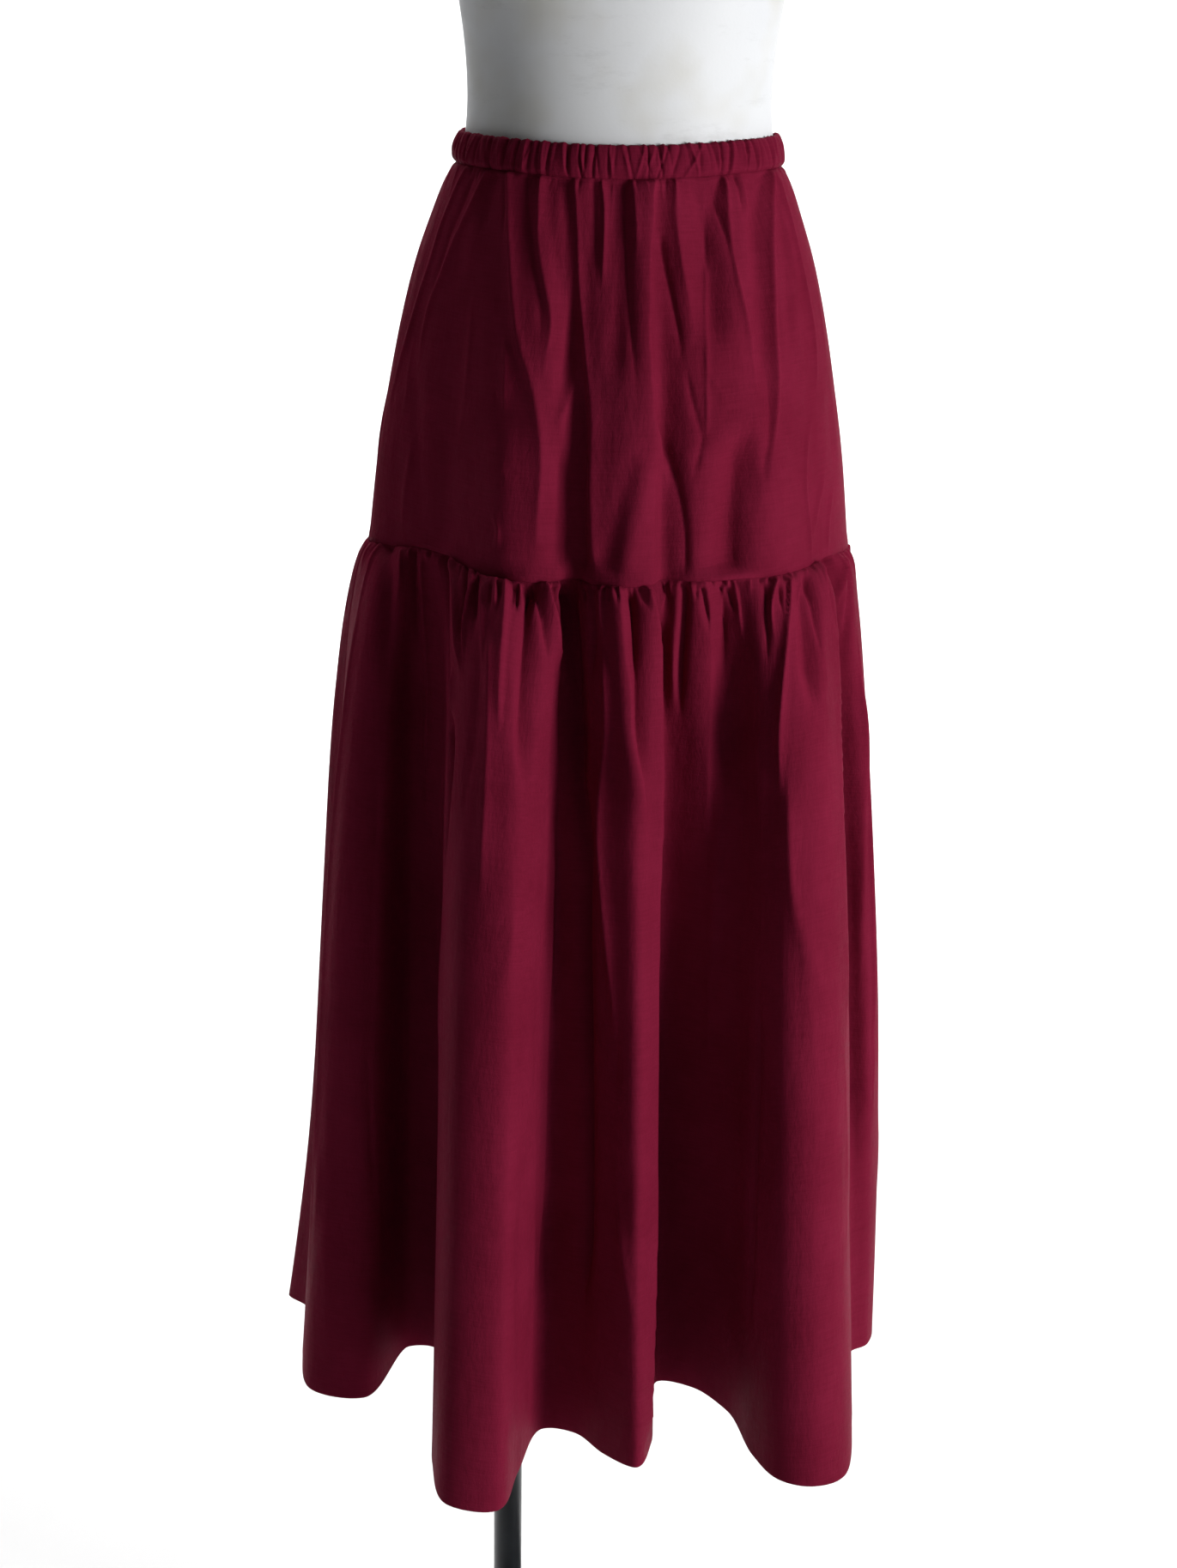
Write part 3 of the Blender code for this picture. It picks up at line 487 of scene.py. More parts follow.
    ("ridge", 3.1, 7.0, 0.20, 0.35, ((25.36, 0.08), (25.09, 0.236), (24.86, 0.357), (24.60, 0.572))),
    ("ridge", 4.2, 5.0, 0.05, 0.45, ((28.60, 0.01), (28.80, 0.14), (28.60, 0.36))),
    ("soft", -3.6, 6.0, 0.15, 0.40, ((30.10, 0.02), (30.30, 0.16), (30.30, 0.40))),
    ("ridge", 4.7, 6.0, 0.05, 0.40, ((32.40, 0.01), (32.80, 0.12), (32.60, 0.38), (33.20, 0.56))),
    ("ridge", 3.1, 4.0, 0.10, 0.40, ((34.50, 0.02), (34.60, 0.18), (34.40, 0.30))),
    ("ridge", 4.9, 6.0, 0.05, 0.35, ((36.30, 0.01), (36.50, 0.16), (36.20, 0.44), (36.60, 0.72))),
    ("soft", -4.1, 6.0, 0.10, 0.40, ((38.40, 0.02), (38.50, 0.20), (38.40, 0.50))),
    ("ridge", 3.9, 5.0, 0.10, 0.45, ((40.20, 0.01), (40.60, 0.10), (40.50, 0.30))),
    ("ridge", 3.4, 7.0, 0.30, 0.40, ((41.20, 0.40), (41.00, 0.62), (41.30, 0.90))),
    ("soft", -4.1, 6.0, 0.10, 0.40, ((42.70, 0.02), (42.60, 0.22), (42.80, 0.46))),
    ("ridge", 4.9, 6.0, 0.05, 0.35, ((44.50, 0.01), (44.70, 0.20), (44.40, 0.46), (44.80, 0.66))),
    ("ridge", 3.4, 4.0, 0.10, 0.40, ((46.80, 0.02), (46.70, 0.14), (46.90, 0.28))),
    ("ridge", 4.4, 6.0, 0.05, 0.40, ((48.60, 0.01), (48.40, 0.18), (48.70, 0.50))),
)

# Small uneven creases all round: how many, and the least and greatest of each size

UPPER_RIPPLES = {"count": 40, "height": (0.4, 1.2), "width": (3, 9), "length": (0.18, 0.50)}
LOWER_RIPPLES = {"count": 72, "height": (0.6, 2.2), "width": (4, 12), "length": (0.10, 0.45)}


def spline_point(knots, at):
    """Points on a closed centripetal spline through knots. at counts knots and their parts."""
    count = len(knots)
    first = np.floor(at).astype(int)
    part = (at - first)[:, None]
    p0, p1, p2, p3 = (knots[(first + step) % count] for step in (-1, 0, 1, 2))
    t1 = np.sqrt(np.linalg.norm(p1 - p0, axis=1))[:, None]
    t2 = t1 + np.sqrt(np.linalg.norm(p2 - p1, axis=1))[:, None]
    t3 = t2 + np.sqrt(np.linalg.norm(p3 - p2, axis=1))[:, None]
    t = t1 + (t2 - t1) * part
    a1 = (t1 - t) / t1 * p0 + t / t1 * p1
    a2 = (t2 - t) / (t2 - t1) * p1 + (t - t1) / (t2 - t1) * p2
    a3 = (t3 - t) / (t3 - t2) * p2 + (t - t2) / (t3 - t2) * p3
    b1 = (t2 - t) / t2 * a1 + t / t2 * a2
    b2 = (t3 - t) / (t3 - t1) * a2 + (t - t1) / (t3 - t1) * a3
    return (t2 - t) / (t2 - t1) * b1 + (t - t1) / (t2 - t1) * b2


def smooth_table(table, at):
    """A smooth rising curve through the rows of a table of two columns."""
    x, y = np.array(table, dtype=float).T
    step, rise = np.diff(x), np.diff(y)
    slope = rise / step
    tangent = np.empty(len(x))
    tangent[1:-1] = 2 * slope[1:] * slope[:-1] / (slope[1:] + slope[:-1])
    tangent[0], tangent[-1] = slope[0], slope[-1]
    cell = np.clip(np.searchsorted(x, at, side="right") - 1, 0, len(step) - 1)
    s = (at - x[cell]) / step[cell]
    return (y[cell] * (1 + 2 * s) * (1 - s) ** 2 + y[cell + 1] * s * s * (3 - 2 * s)
            + step[cell] * (tangent[cell] * s * (1 - s) ** 2 - tangent[cell + 1] * s * s * (1 - s)))


def fold_ends():
    table = np.array([row[1:] for row in LOWER_FOLDS], dtype=float) * MM
    return table[:, 0:3], table[:, 3:6]


def panel_stations(columns, hem_share):
    """Places on the fold table for both panels, spaced by a mix of the seam's and hem's length."""
    seam, hem = fold_ends()
    places = []
    for start, end in ((LEFT_SEAM_ROW, RIGHT_SEAM_ROW),
                       (RIGHT_SEAM_ROW, LEFT_SEAM_ROW + len(seam))):
        fine = np.linspace(start, end, 6001)
        share = np.zeros(len(fine))
        for knots, weight in ((seam, 1 - hem_share), (hem, hem_share)):
            steps = np.linalg.norm(np.diff(spline_point(knots[:, :2], fine), axis=0), axis=1)
            length = np.concatenate([[0.0], np.cumsum(steps)])
            share += weight * length / length[-1]
        places.append(np.interp(np.arange(columns) / columns, share, fine))
    return np.concatenate(places)


def lift_at(at, lifts):
    """Lifts of the table's rows, smoothly joined."""
    knots = np.stack([np.arange(len(lifts)) * 1.0, lifts], axis=1)
    first = np.floor(at).astype(int)
    s = at - first
    s = s * s * (3 - 2 * s)
    count = len(lifts)
    return knots[first % count, 1] * (1 - s) + knots[(first + 1) % count, 1] * s


def lower_base(at, downs):
    """The lower tier's plain form: a grid of points, rows from seam to hem."""
    seam, hem = fold_ends()
    bows = np.array([LOWER_BOWS.get(row[0], 0) for row in LOWER_FOLDS]) * MM
    inward = -hem[:, :2] / np.linalg.norm(hem[:, :2], axis=1)[:, None] * bows[:, None]
    opened = smooth_table(LOWER_PROFILE, downs)
    grid = np.empty((len(downs), len(at), 3))
    for row, down in enumerate(downs):
        knots = seam[:, :2] + (hem[:, :2] - seam[:, :2]) * opened[row]
        knots = knots + inward * math.sin(math.pi * down ** 1.5)
        grid[row, :, :2] = spline_point(knots, at)
        lifts = seam[:, 2] + (hem[:, 2] - seam[:, 2]) * down
        grid[row, :, 2] = WAIST_TOP - UPPER_END - down * (LOWER_END - UPPER_END) + lift_at(at, lifts)
    return grid


def angle_ring(angles, half_x, half_y):
    reach = 1.0 / np.sqrt((np.sin(angles) / half_x) ** 2 + (np.cos(angles) / half_y) ** 2)
    return np.stack([reach * np.sin(angles), -reach * np.cos(angles)], axis=1)


def upper_base(at, downs):
    """The upper tier's plain form: a grid of points, rows from the band to the tier seam."""
    seam = fold_ends()[0]
    seam_plan = spline_point(seam[:, :2], at)
    angles = np.arctan2(seam_plan[:, 0], -seam_plan[:, 1])
    band_plan = angle_ring(angles, BAND_RINGS[-1][1], BAND_RINGS[-1][2])
    spread = smooth_table(UPPER_PROFILE, np.clip(downs, 0, 1))
    grid = np.empty((len(downs), len(at), 3))
    for row, down in enumerate(downs):
        grid[row, :, :2] = band_plan + (seam_plan - band_plan) * spread[row]
        height = WAIST_TOP - BAND_DEPTH - down * (UPPER_END - BAND_DEPTH)
        grid[row, :, 2] = height + lift_at(at, seam[:, 2]) * down
    return grid


def band_base(angles, belows):
    table = np.array(BAND_RINGS)
    grid = np.empty((len(belows), len(angles), 3))
    for row, below in enumerate(belows):
        half_x = np.interp(below, table[:, 0], table[:, 1])
        half_y = np.interp(below, table[:, 0], table[:, 2])
        grid[row, :, :2] = angle_ring(angles, half_x, half_y)
        grid[row, :, 2] = WAIST_TOP - below
    return grid


def grid_normals(grid):
    """Outward unit normals of a grid whose columns close into a ring."""
    across = np.roll(grid, -1, axis=1) - np.roll(grid, 1, axis=1)
    down = np.gradient(grid, axis=0)
    normal = np.cross(down, across)
    normal /= np.maximum(np.linalg.norm(normal, axis=2), 1e-12)[:, :, None]
    return normal


class Sheet:
    """A ring of cloth under way: its plain grid, and how far each point is moved out of it."""

    def __init__(self, at, downs, grid):
        self.at, self.downs, self.grid = at, downs, grid
        self.normal = grid_normals(grid)
        self.push = np.zeros(grid.shape[:2])
        self.steps = np.linalg.norm(np.roll(grid, -1, axis=1) - grid, axis=2)
        falls = np.linalg.norm(np.diff(grid, axis=0), axis=2)
        self.fall = np.concatenate([np.zeros((1, grid.shape[1])), np.cumsum(falls, axis=0)])

    def share(self, row):
        """Share of the way round for each column, measured along one row."""
        length = np.concatenate([[0.0], np.cumsum(self.steps[row])])
        return length[:-1] / length[-1]

    def below(self, top_row):
        """Distance under one row for each point, in millimetres."""
        return (self.fall - self.fall[top_row]) / MM

    def pleats(self, count, depth, width, length, top_row, dice, hidden=False, leaning=0.05):
        """Sharp uneven grooves that start at one row, as gathered cloth has under its seam."""
        share = self.share(top_row)
        whole = self.steps[top_row].sum() / MM
        below = self.below(top_row)
        gaps = np.cumsum(dice.uniform(0.45, 1.55, count))
        for centre in gaps / gaps[-1]:
            deep, wide = dice.uniform(*depth), dice.uniform(*width)
            run = length[0] + (length[1] - length[0]) * dice.rand() ** 2.2
            lean, bend = dice.normal(0.0, leaning), dice.normal(0.0, 0.5) * wide
            if hidden and not HIDDEN[0] < np.interp(centre, share, self.at) < HIDDEN[1]:
                continue
            away = ((share - centre + 0.5) % 1.0 - 0.5) * whole
            columns = np.nonzero(np.abs(away) < 5 * wide + abs(lean) * run + 2 * wide)[0]
            rows = np.nonzero(below.min(axis=1) < run)[0]
            near = np.ix_(rows, columns)
            part = np.clip(below[near] / run, 0.0, 1.0)
            shift = away[columns][None, :] - lean * below[near] - bend * np.sin(math.pi * part)
            spread = np.abs(shift) / (wide * (1 + 0.9 * part))
            fade = ease((1 - part) / 0.85) * (1 - 0.35 * part)
            self.push[near] -= deep * MM * fade * groove(spread)

    def waves(self, waves, top_row, dice):
        """Wider, softer folds below the gathers."""
        share = self.share(top_row)
        share = share + sum(dice.uniform(0.10, 0.22) / (2 * math.pi * k)
                            * np.sin(2 * math.pi * (k * share + dice.rand())) for k in (3, 5, 11))
        below = self.below(top_row)
        for count, height, full, end in waves:
            phase = share * count + dice.rand()
            size = soft_steps(dice.uniform(0.15, 1.4, count), phase, count)
            stop = full + (end - full) * soft_steps(dice.uniform(0.3, 1.2, count), phase, count)
            lean = soft_steps(dice.uniform(-0.6, 0.6, count), phase, count)
            part = (phase[None, :] + lean[None, :] * np.clip(below / end, 0, 1)) % 1.0
            crest = np.sin(math.pi * part) ** 0.8 - 0.5
            rise = 0.35 + 0.65 * ease(below / full)
            drop = ease((stop[None, :] - below) / (stop - full * 0.5)[None, :])
            side = ease(self.at - HIDDEN[0]) * ease(HIDDEN[1] - self.at)
            self.push += height * MM * crest * (size * side)[None, :] * rise * drop

    def crease(self, kind, height, width, fade_in, fade_out, points):
        """One soft ridge or groove through its points."""
        places, downs = np.array(points, dtype=float).T
        count = len(LOWER_FOLDS)
        middle = places.mean()
        offset = (self.at - middle + count / 2) % count - count / 2
        order = np.argsort(offset)
        offset = offset[order]
        near = (offset > (places - middle).min() - 5) & (offset < (places - middle).max() + 5)
        order, offset = order[near], offset[near]
        first = np.searchsorted(offset, 0.0)
        x = np.cumsum(self.steps[:, order], axis=1)
        x -= x[:, first:first + 1]
        y = self.fall[:, order]
        row = np.interp(downs, self.downs, np.arange(len(self.downs)))
        low = np.minimum(np.floor(row).astype(int), len(self.downs) - 2)
        part = row - low
        px, py = (np.array([np.interp(p, offset, grid[k]) * (1 - f) + np.interp(p, offset, grid[k + 1]) * f
                            for p, k, f in zip(places - middle, low, part)]) for grid in (x, y))
        along = np.concatenate([[0.0], np.cumsum(np.hypot(np.diff(px), np.diff(py)))])
        fine = np.linspace(0, along[-1], 8 * len(px))
        px, py = smooth_path(along, px, fine), smooth_path(along, py, fine)
        reach = 4 * width * MM
        rows = np.nonzero((y.max(axis=1) > py.min() - reach) & (y.min(axis=1) < py.max() + reach))[0]
        x, y = x[rows], y[rows]
        best = np.full(x.shape, 9.0)
        where = np.zeros(x.shape)
        right = np.zeros(x.shape, dtype=bool)
        for k in range(len(px) - 1):
            dx, dy = px[k + 1] - px[k], py[k + 1] - py[k]
            length = math.hypot(dx, dy)
            t = np.clip(((x - px[k]) * dx + (y - py[k]) * dy) / length ** 2, 0, 1)
            away = np.hypot(x - px[k] - t * dx, y - py[k] - t * dy)
            where = np.where(away < best, (fine[k] + t * length) / fine[-1], where)
            right = np.where(away < best, (x - px[k]) * dy > (y - py[k]) * dx, right)
            best = np.minimum(best, away)
        start = ease(where / fade_in) if fade_in > FROM_SEAM else 1.0
        fade = start * ease((1 - where) / fade_out)
        spread = best / (width * MM * (0.6 + 0.4 * fade))
        if kind == "ridge":
            form = 1.25 * np.exp(-np.sqrt(spread ** 2 * 2.4 + 0.05)) - 0.10 * np.exp(-(spread / 2.6) ** 2)
        elif kind == "groove":
            form = groove(spread)
        elif kind == "step":
            form = np.where(right, 1.25 * np.exp(-2.6 * spread) - 0.25 * np.exp(-(spread / 2.5) ** 2),
                            np.exp(-(spread / 2.6) ** 1.6))
        else:
            form = np.exp(-spread ** 2)
        self.push[np.ix_(rows, order)] += height * MM * fade * form

    def keep_off_form(self):
        """Moves out any point that a deep groove has brought too near the form."""
        table = np.array(FORM_SECTIONS)
        points = self.grid + self.normal * self.push[:, :, None]
        half_x, half_y, shift = (np.interp(points[:, :, 2] - WAIST_TOP, table[:, 0], table[:, k])
                                 for k in (1, 2, 3))
        reach = np.hypot(points[:, :, 0] / half_x, (points[:, :, 1] - shift) / half_y)
        least = 1 + FORM_CLEAR / np.minimum(half_x, half_y)
        short = least + FORM_SOFT * np.log1p(np.exp((reach - least) / FORM_SOFT))
        scale = (short / reach)[:, :, None]
        centre = np.stack([0 * shift, shift], axis=2)
        self.grid[:, :, :2] = centre + (points[:, :, :2] - centre) * scale
        self.grid[:, :, 2] = points[:, :, 2]
        self.push[:] = 0.0

    def ripple(self, count, height, width, length, seed):
        """Small creases at uneven places, each leaning its own way."""
        dice = np.random.RandomState(seed)
        rows = len(LOWER_FOLDS)
        for index in range(count):
            place = (index + dice.uniform(0.1, 0.9)) * rows / count
            start = dice.uniform(0.02, 0.75) ** 1.3
            run = dice.uniform(*length)
            lean = dice.uniform(-0.7, 0.7)
            bend = dice.uniform(-0.25, 0.25)
            sign = 1 if dice.rand() < 0.65 else -1
            kind = "ridge" if sign > 0 and dice.rand() < 0.5 else "soft"
            self.crease(kind, sign * dice.uniform(*height), dice.uniform(*width), 0.4, 0.5,
                        ((place, start), (place + lean / 2 + bend, min(0.99, start + run / 2)),
                         (place + lean, min(1.0, start + run))))


def groove(spread):
    """A sharp groove whose lips stand up a little."""
    return np.exp(-spread ** 1.15) - 0.22 * np.exp(-(spread / 2.6) ** 2)


def ease(value):
    """From 0 to 1 with a soft start and a soft end."""
    value = np.clip(value, 0.0, 1.0)
    return value * value * (3 - 2 * value)


def soft_steps(values, phase, count):
    """One value for each gather, blended between neighbours."""
    middle = phase - 0.5
    first = np.floor(middle).astype(int)
    s = middle - first
    s = s * s * (3 - 2 * s)
    return values[first % count] * (1 - s) + values[(first + 1) % count] * s


def smooth_path(along, values, fine):
    """Catmull-Rom through a path's values."""
    slope = np.gradient(values, along)
    cell = np.clip(np.searchsorted(along, fine, side="right") - 1, 0, len(along) - 2)
    step = along[cell + 1] - along[cell]
    s = (fine - along[cell]) / step
    return (values[cell] * (1 + 2 * s) * (1 - s) ** 2 + values[cell + 1] * s * s * (3 - 2 * s)
            + step * (slope[cell] * s * (1 - s) ** 2 - slope[cell + 1] * s * s * (1 - s)))


# Meshes

def strip_faces(top, bottom):
    """Quads between two runs of point numbers, outside to the left of the run."""
    return np.stack([top[:-1], bottom[:-1], bottom[1:], top[1:]], axis=1)


def add_cloth(name, sheet, picks, closed, thick, material):
    """A thin closed shell for one piece of cloth, with rounded edges."""
    centre = (sheet.grid + sheet.normal * sheet.push[:, :, None])[:, picks]
    normal = sheet.normal[:, picks]
    if not closed:
        for end, beside in ((0, 1), (-1, -2)):
            toward = centre[:, beside] - centre[:, end]
            toward /= np.linalg.norm(toward, axis=1)[:, None]
            centre[:, end] += toward * SEAM_SHUT / 2
    outer_half = thick[0][:, None, None]
    inner_half = thick[1][:, None, None]
    outer = centre + normal * outer_half
    inner = centre - normal * inner_half
    lines = [outer]
    down_end = centre[-1] - centre[-2]
    down_end /= np.linalg.norm(down_end, axis=1)[:, None]
    half = (thick[0][-1] + thick[1][-1]) / 2
    middle = (outer[-1] + inner[-1]) / 2
    lines.append((middle + down_end * half * EDGE_ROUND)[None])
    lines.append(inner[::-1])
    up_end = centre[0] - centre[1]
    up_end /= np.linalg.norm(up_end, axis=1)[:, None]
    half = (thick[0][0] + thick[1][0]) / 2
    middle = (outer[0] + inner[0]) / 2
    lines.append((middle + up_end * half * EDGE_ROUND)[None])
    loop = np.concatenate(lines)
    around, wide = loop.shape[:2]
    number = np.arange(around * wide).reshape(around, wide)
    if closed:
        number = np.concatenate([number, number[:, :1]], axis=1)
    faces = [strip_faces(number[row], number[(row + 1) % around]) for row in range(around)]
    if not closed:
        rows = len(centre)
        for column, flip in ((0, False), (wide - 1, True)):
            front = number[:rows, column]
            back = number[rows + 1:2 * rows + 1, column][::-1]
            cap = strip_faces(back, front) if not flip else strip_faces(front, back)
            faces.append(cap)
            faces.append(np.array([[number[rows, column], back[-1], front[-1], front[-1]]]))
            faces.append(np.array([[number[-1, column], front[0], back[0], back[0]]]))
    flat_u = np.concatenate([[0.0], np.cumsum(np.linalg.norm(np.diff(centre[-1], axis=0), axis=1))])
    fall = sheet.fall[:, picks]
    v = np.concatenate([fall, fall[-1:], fall[::-1], fall[:1]])
    uvs = np.stack([np.broadcast_to(flat_u, v.shape), v], axis=2).reshape(-1, 2)
    return add_faces(name, loop.reshape(-1, 3), faces, uvs, material)


def add_faces(name, points, faces, uvs, material):
    """A mesh from blocks of quads, where a quad that repeats its last number is a triangle."""
    listed = []
    for block in faces:
        listed.extend(row[:3] if row[2] == row[3] else row for row in block.tolist())
    mesh = bpy.data.meshes.new(name)
    mesh.from_pydata(points.tolist(), [], listed)
    mesh.polygons.foreach_set("use_smooth", np.ones(len(listed), dtype=bool))
    layer = mesh.uv_layers.new(name="cut")
    loops = np.empty(len(mesh.loops), dtype=np.int32)
    mesh.loops.foreach_get("vertex_index", loops)
    layer.data.foreach_set("uv", uvs[loops].astype(np.float32).ravel())
    mesh.materials.append(material)
    mesh.update()
    thing = bpy.data.objects.new(name, mesh)
    bpy.context.scene.collection.objects.link(thing)
    return thing


def add_turned(name, sections, sides, middle, material):
    """A closed turned piece through level ellipses: height, half width, half depth, shift."""
    table = np.array(sections, dtype=float)
    turn = np.arange(sides + 1) * 2.0 * math.pi / sides
    rows = len(table)
    points = np.empty((rows, sides, 3))
    points[:, :, 0] = middle[0] + table[:, 1:2] * np.sin(turn[:-1])
    points[:, :, 1] = middle[1] + table[:, 3:4] - table[:, 2:3] * np.cos(turn[:-1])
    points[:, :, 2] = table[:, 0:1]
    number = np.arange(rows * sides).reshape(rows, sides)
    number = np.concatenate([number, number[:, :1]], axis=1)
    faces = [strip_faces(number[row + 1], number[row]) for row in range(rows - 1)]
    ends = np.array([[middle[0], middle[1] + table[k, 3], table[k, 0]] for k in (0, -1)])
    low, high = rows * sides, rows * sides + 1
    run = number[0]
    faces.append(np.stack([run[:-1], np.full(sides, low), run[1:], run[1:]], axis=1))
    run = number[-1]
    faces.append(np.stack([run[:-1], run[1:], np.full(sides, high), np.full(sides, high)], axis=1))
    uvs = np.stack([np.broadcast_to(turn[:-1] * table[:, 1].max(), (rows, sides)),
                    np.broadcast_to(table[:, 0:1], (rows, sides))], axis=2).reshape(-1, 2)
    uvs = np.concatenate([uvs, [[0, table[0, 0]], [0, table[-1, 0]]]])
    return add_faces(name, np.concatenate([points.reshape(-1, 3), ends]), faces, uvs, material)


def resample(sections, count):
    """The same turned form through more level ellipses, smoothly joined."""
    table = np.array(sections, dtype=float)
    along = np.concatenate([[0.0], np.cumsum(np.linalg.norm(np.diff(table[:, :3], axis=0), axis=1))])
    fine = np.linspace(0, along[-1], count)
    return np.stack([smooth_path(along, table[:, k], fine) for k in range(4)], axis=1)


# Materials

class Nodes:
    """Short ways to add shader nodes to one material."""

    def __init__(self, name):
        self.material = bpy.data.materials.new(name)
        self.material.use_nodes = True
        self.tree = self.material.node_tree
        self.shader = self.tree.nodes["Principled BSDF"]

    def add(self, kind, inputs=(), **settings):
        node = self.tree.nodes.new(kind)
        for key, value in settings.items():
            setattr(node, key, value)
        for key, value in dict(inputs).items():
            self.put(node.inputs[key], value)
        return node

    def put(self, socket, value):
        if isinstance(value, bpy.types.NodeSocket):
            self.tree.links.new(value, socket)
        else:
            socket.default_value = value

    def math(self, operation, first, second=0.0):
        node = self.add("ShaderNodeMath", operation=operation)
        self.put(node.inputs[0], first)
        self.put(node.inputs[1], second)
        return node.outputs[0]

    def mix(self, share, first, second, blend="MIX"):
        node = self.add("ShaderNodeMix", data_type="RGBA", blend_type=blend)
        self.put(node.inputs[0], share)
        self.put(node.inputs[6], first)
        self.put(node.inputs[7], second)
        return node.outputs[2]

    def noise(self, vector, scale, detail=3.0, rough=0.5):
        node = self.add("ShaderNodeTexNoise", {"Scale": scale, "Detail": detail, "Roughness": rough})
        self.put(node.inputs["Vector"], vector)
        return node.outputs["Fac"]

    def ramp(self, value, low, high, to_low=0.0, to_high=1.0):
        node = self.add("ShaderNodeMapRange", {"From Min": low, "From Max": high,
                                               "To Min": to_low, "To Max": to_high})
        self.put(node.inputs["Value"], value)
        return node.outputs["Result"]

    def bump(self, height, distance, strength=1.0, under=None):
        node = self.add("ShaderNodeBump", {"Distance": distance, "Strength": strength})
        self.put(node.inputs["Height"], height)
        if under is not None:
            self.put(node.inputs["Normal"], under)
        return node.outputs["Normal"]

    def wave(self, vector, scale, direction):
        node = self.add("ShaderNodeTexWave", {"Scale": scale, "Distortion": 0.6, "Detail": 1.0,
                                              "Detail Scale": 0.4},
                        wave_type="BANDS", bands_direction=direction)
        self.put(node.inputs["Vector"], vector)
        return node.outputs["Fac"]

    def set(self, **values):
        for key, value in values.items():
            self.put(self.shader.inputs[key.replace("_", " ")], value)


def cloth_material(name, dark, light, thread):
    """Plain-woven cloth with a low lustre: warp and weft as bumps, slubs and slow dye changes."""
    n = Nodes(name)
    uv = n.add("ShaderNodeUVMap", uv_map="cut").outputs["UV"]
    warp = n.wave(uv, thread, "X")
    weft = n.wave(uv, thread, "Y")
    weave = n.math("MULTIPLY", warp, weft)
    across = n.add("ShaderNodeMapping", {"Scale": (40.0, 900.0, 1.0)})
    n.put(across.inputs["Vector"], uv)
    slub = n.noise(across.outputs["Vector"], 1.0, 2.0)
    place = n.add("ShaderNodeTexCoord").outputs["Object"]
    cloudy = n.noise(place, 9.0, 6.0, 0.65)
    fine = n.noise(place, 220.0, 3.0, 0.6)
    shade = n.math("ADD", n.math("MULTIPLY", n.ramp(cloudy, 0.36, 0.64), 0.50),
                   n.math("MULTIPLY", n.ramp(slub, 0.34, 0.66), 0.30))
    shade = n.math("ADD", shade, n.math("MULTIPLY", weave, 0.20))
    n.set(Base_Color=n.mix(shade, dark, light), Roughness=n.ramp(fine, 0.3, 0.7, 0.56, 0.66))
    n.set(Specular_IOR_Level=0.02, Specular_Tint=(0.62, 0.06, 0.16, 1.0), Sheen_Weight=0.08,
          Sheen_Roughness=0.5, Sheen_Tint=(0.80, 0.04, 0.13, 1.0))
    crumple = n.add("ShaderNodeMapping", {"Scale": (95.0, 38.0, 1.0)})
    n.put(crumple.inputs["Vector"], uv)
    crinkle = n.noise(crumple.outputs["Vector"], 1.0, 5.0, 0.62)
    rough = n.bump(crinkle, 0.0034, 0.36)
    rough = n.bump(fine, 0.0004, 0.35, rough)
    rough = n.bump(slub, 0.00016, 0.6, rough)
    n.set(Normal=n.bump(weave, 0.00012, 0.6, rough))
    return n.material


def shell_material(name):
    """Painted off-white shell: faint unevenness, light handling marks and a soft gloss."""
    n = Nodes(name)
    place = n.add("ShaderNodeTexCoord").outputs["Object"]
    cloudy = n.noise(place, 5.0, 4.0)
    skin = n.noise(place, 420.0, 2.0)
    stretched = n.add("ShaderNodeMapping", {"Scale": (18.0, 18.0, 60.0)})
    n.put(stretched.inputs["Vector"], place)
    scuffs = n.ramp(n.noise(stretched.outputs["Vector"], 1.0, 6.0, 0.7), 0.57, 0.70)
    stains = n.ramp(n.noise(place, 11.0, 3.0), 0.55, 0.70)
    color = n.mix(n.ramp(cloudy, 0.3, 0.7), (0.700, 0.712, 0.730, 1.0), (0.800, 0.806, 0.812, 1.0))
    color = n.mix(n.math("MULTIPLY", stains, 0.45), color, (0.58, 0.55, 0.46, 1.0))
    color = n.mix(n.math("MULTIPLY", scuffs, 0.34), color, (0.52, 0.52, 0.52, 1.0))
    n.set(Base_Color=color, Roughness=n.ramp(cloudy, 0.3, 0.7, 0.50, 0.64),
          Specular_IOR_Level=0.30, Normal=n.bump(skin, 0.0002, 0.25))
    return n.material


def metal_material(name):
    """Black satin-coated metal with fine grain and worn, duller patches."""
    n = Nodes(name)
    place = n.add("ShaderNodeTexCoord").outputs["Object"]
    stretched = n.add("ShaderNodeMapping", {"Scale": (500.0, 500.0, 30.0)})
    n.put(stretched.inputs["Vector"], place)
    grain = n.noise(stretched.outputs["Vector"], 1.0, 3.0)
    cloudy = n.noise(place, 26.0, 4.0)
    color = n.mix(n.ramp(cloudy, 0.35, 0.65), (0.010, 0.011, 0.013, 1.0), (0.020, 0.022, 0.025, 1.0))
    n.set(Base_Color=color, Metallic=0.45, Roughness=n.ramp(cloudy, 0.3, 0.7, 0.28, 0.42),
          Normal=n.bump(grain, 0.00005, 0.4))
    return n.material


def backdrop_material(name):
    n = Nodes(name)
    place = n.add("ShaderNodeTexCoord").outputs["Object"]
    soft = n.noise(place, 1.5, 2.0)
    n.set(Base_Color=n.mix(soft, (0.70, 0.70, 0.70, 1.0), (0.73, 0.73, 0.73, 1.0)), Roughness=0.9)
    return n.material


# The skirt

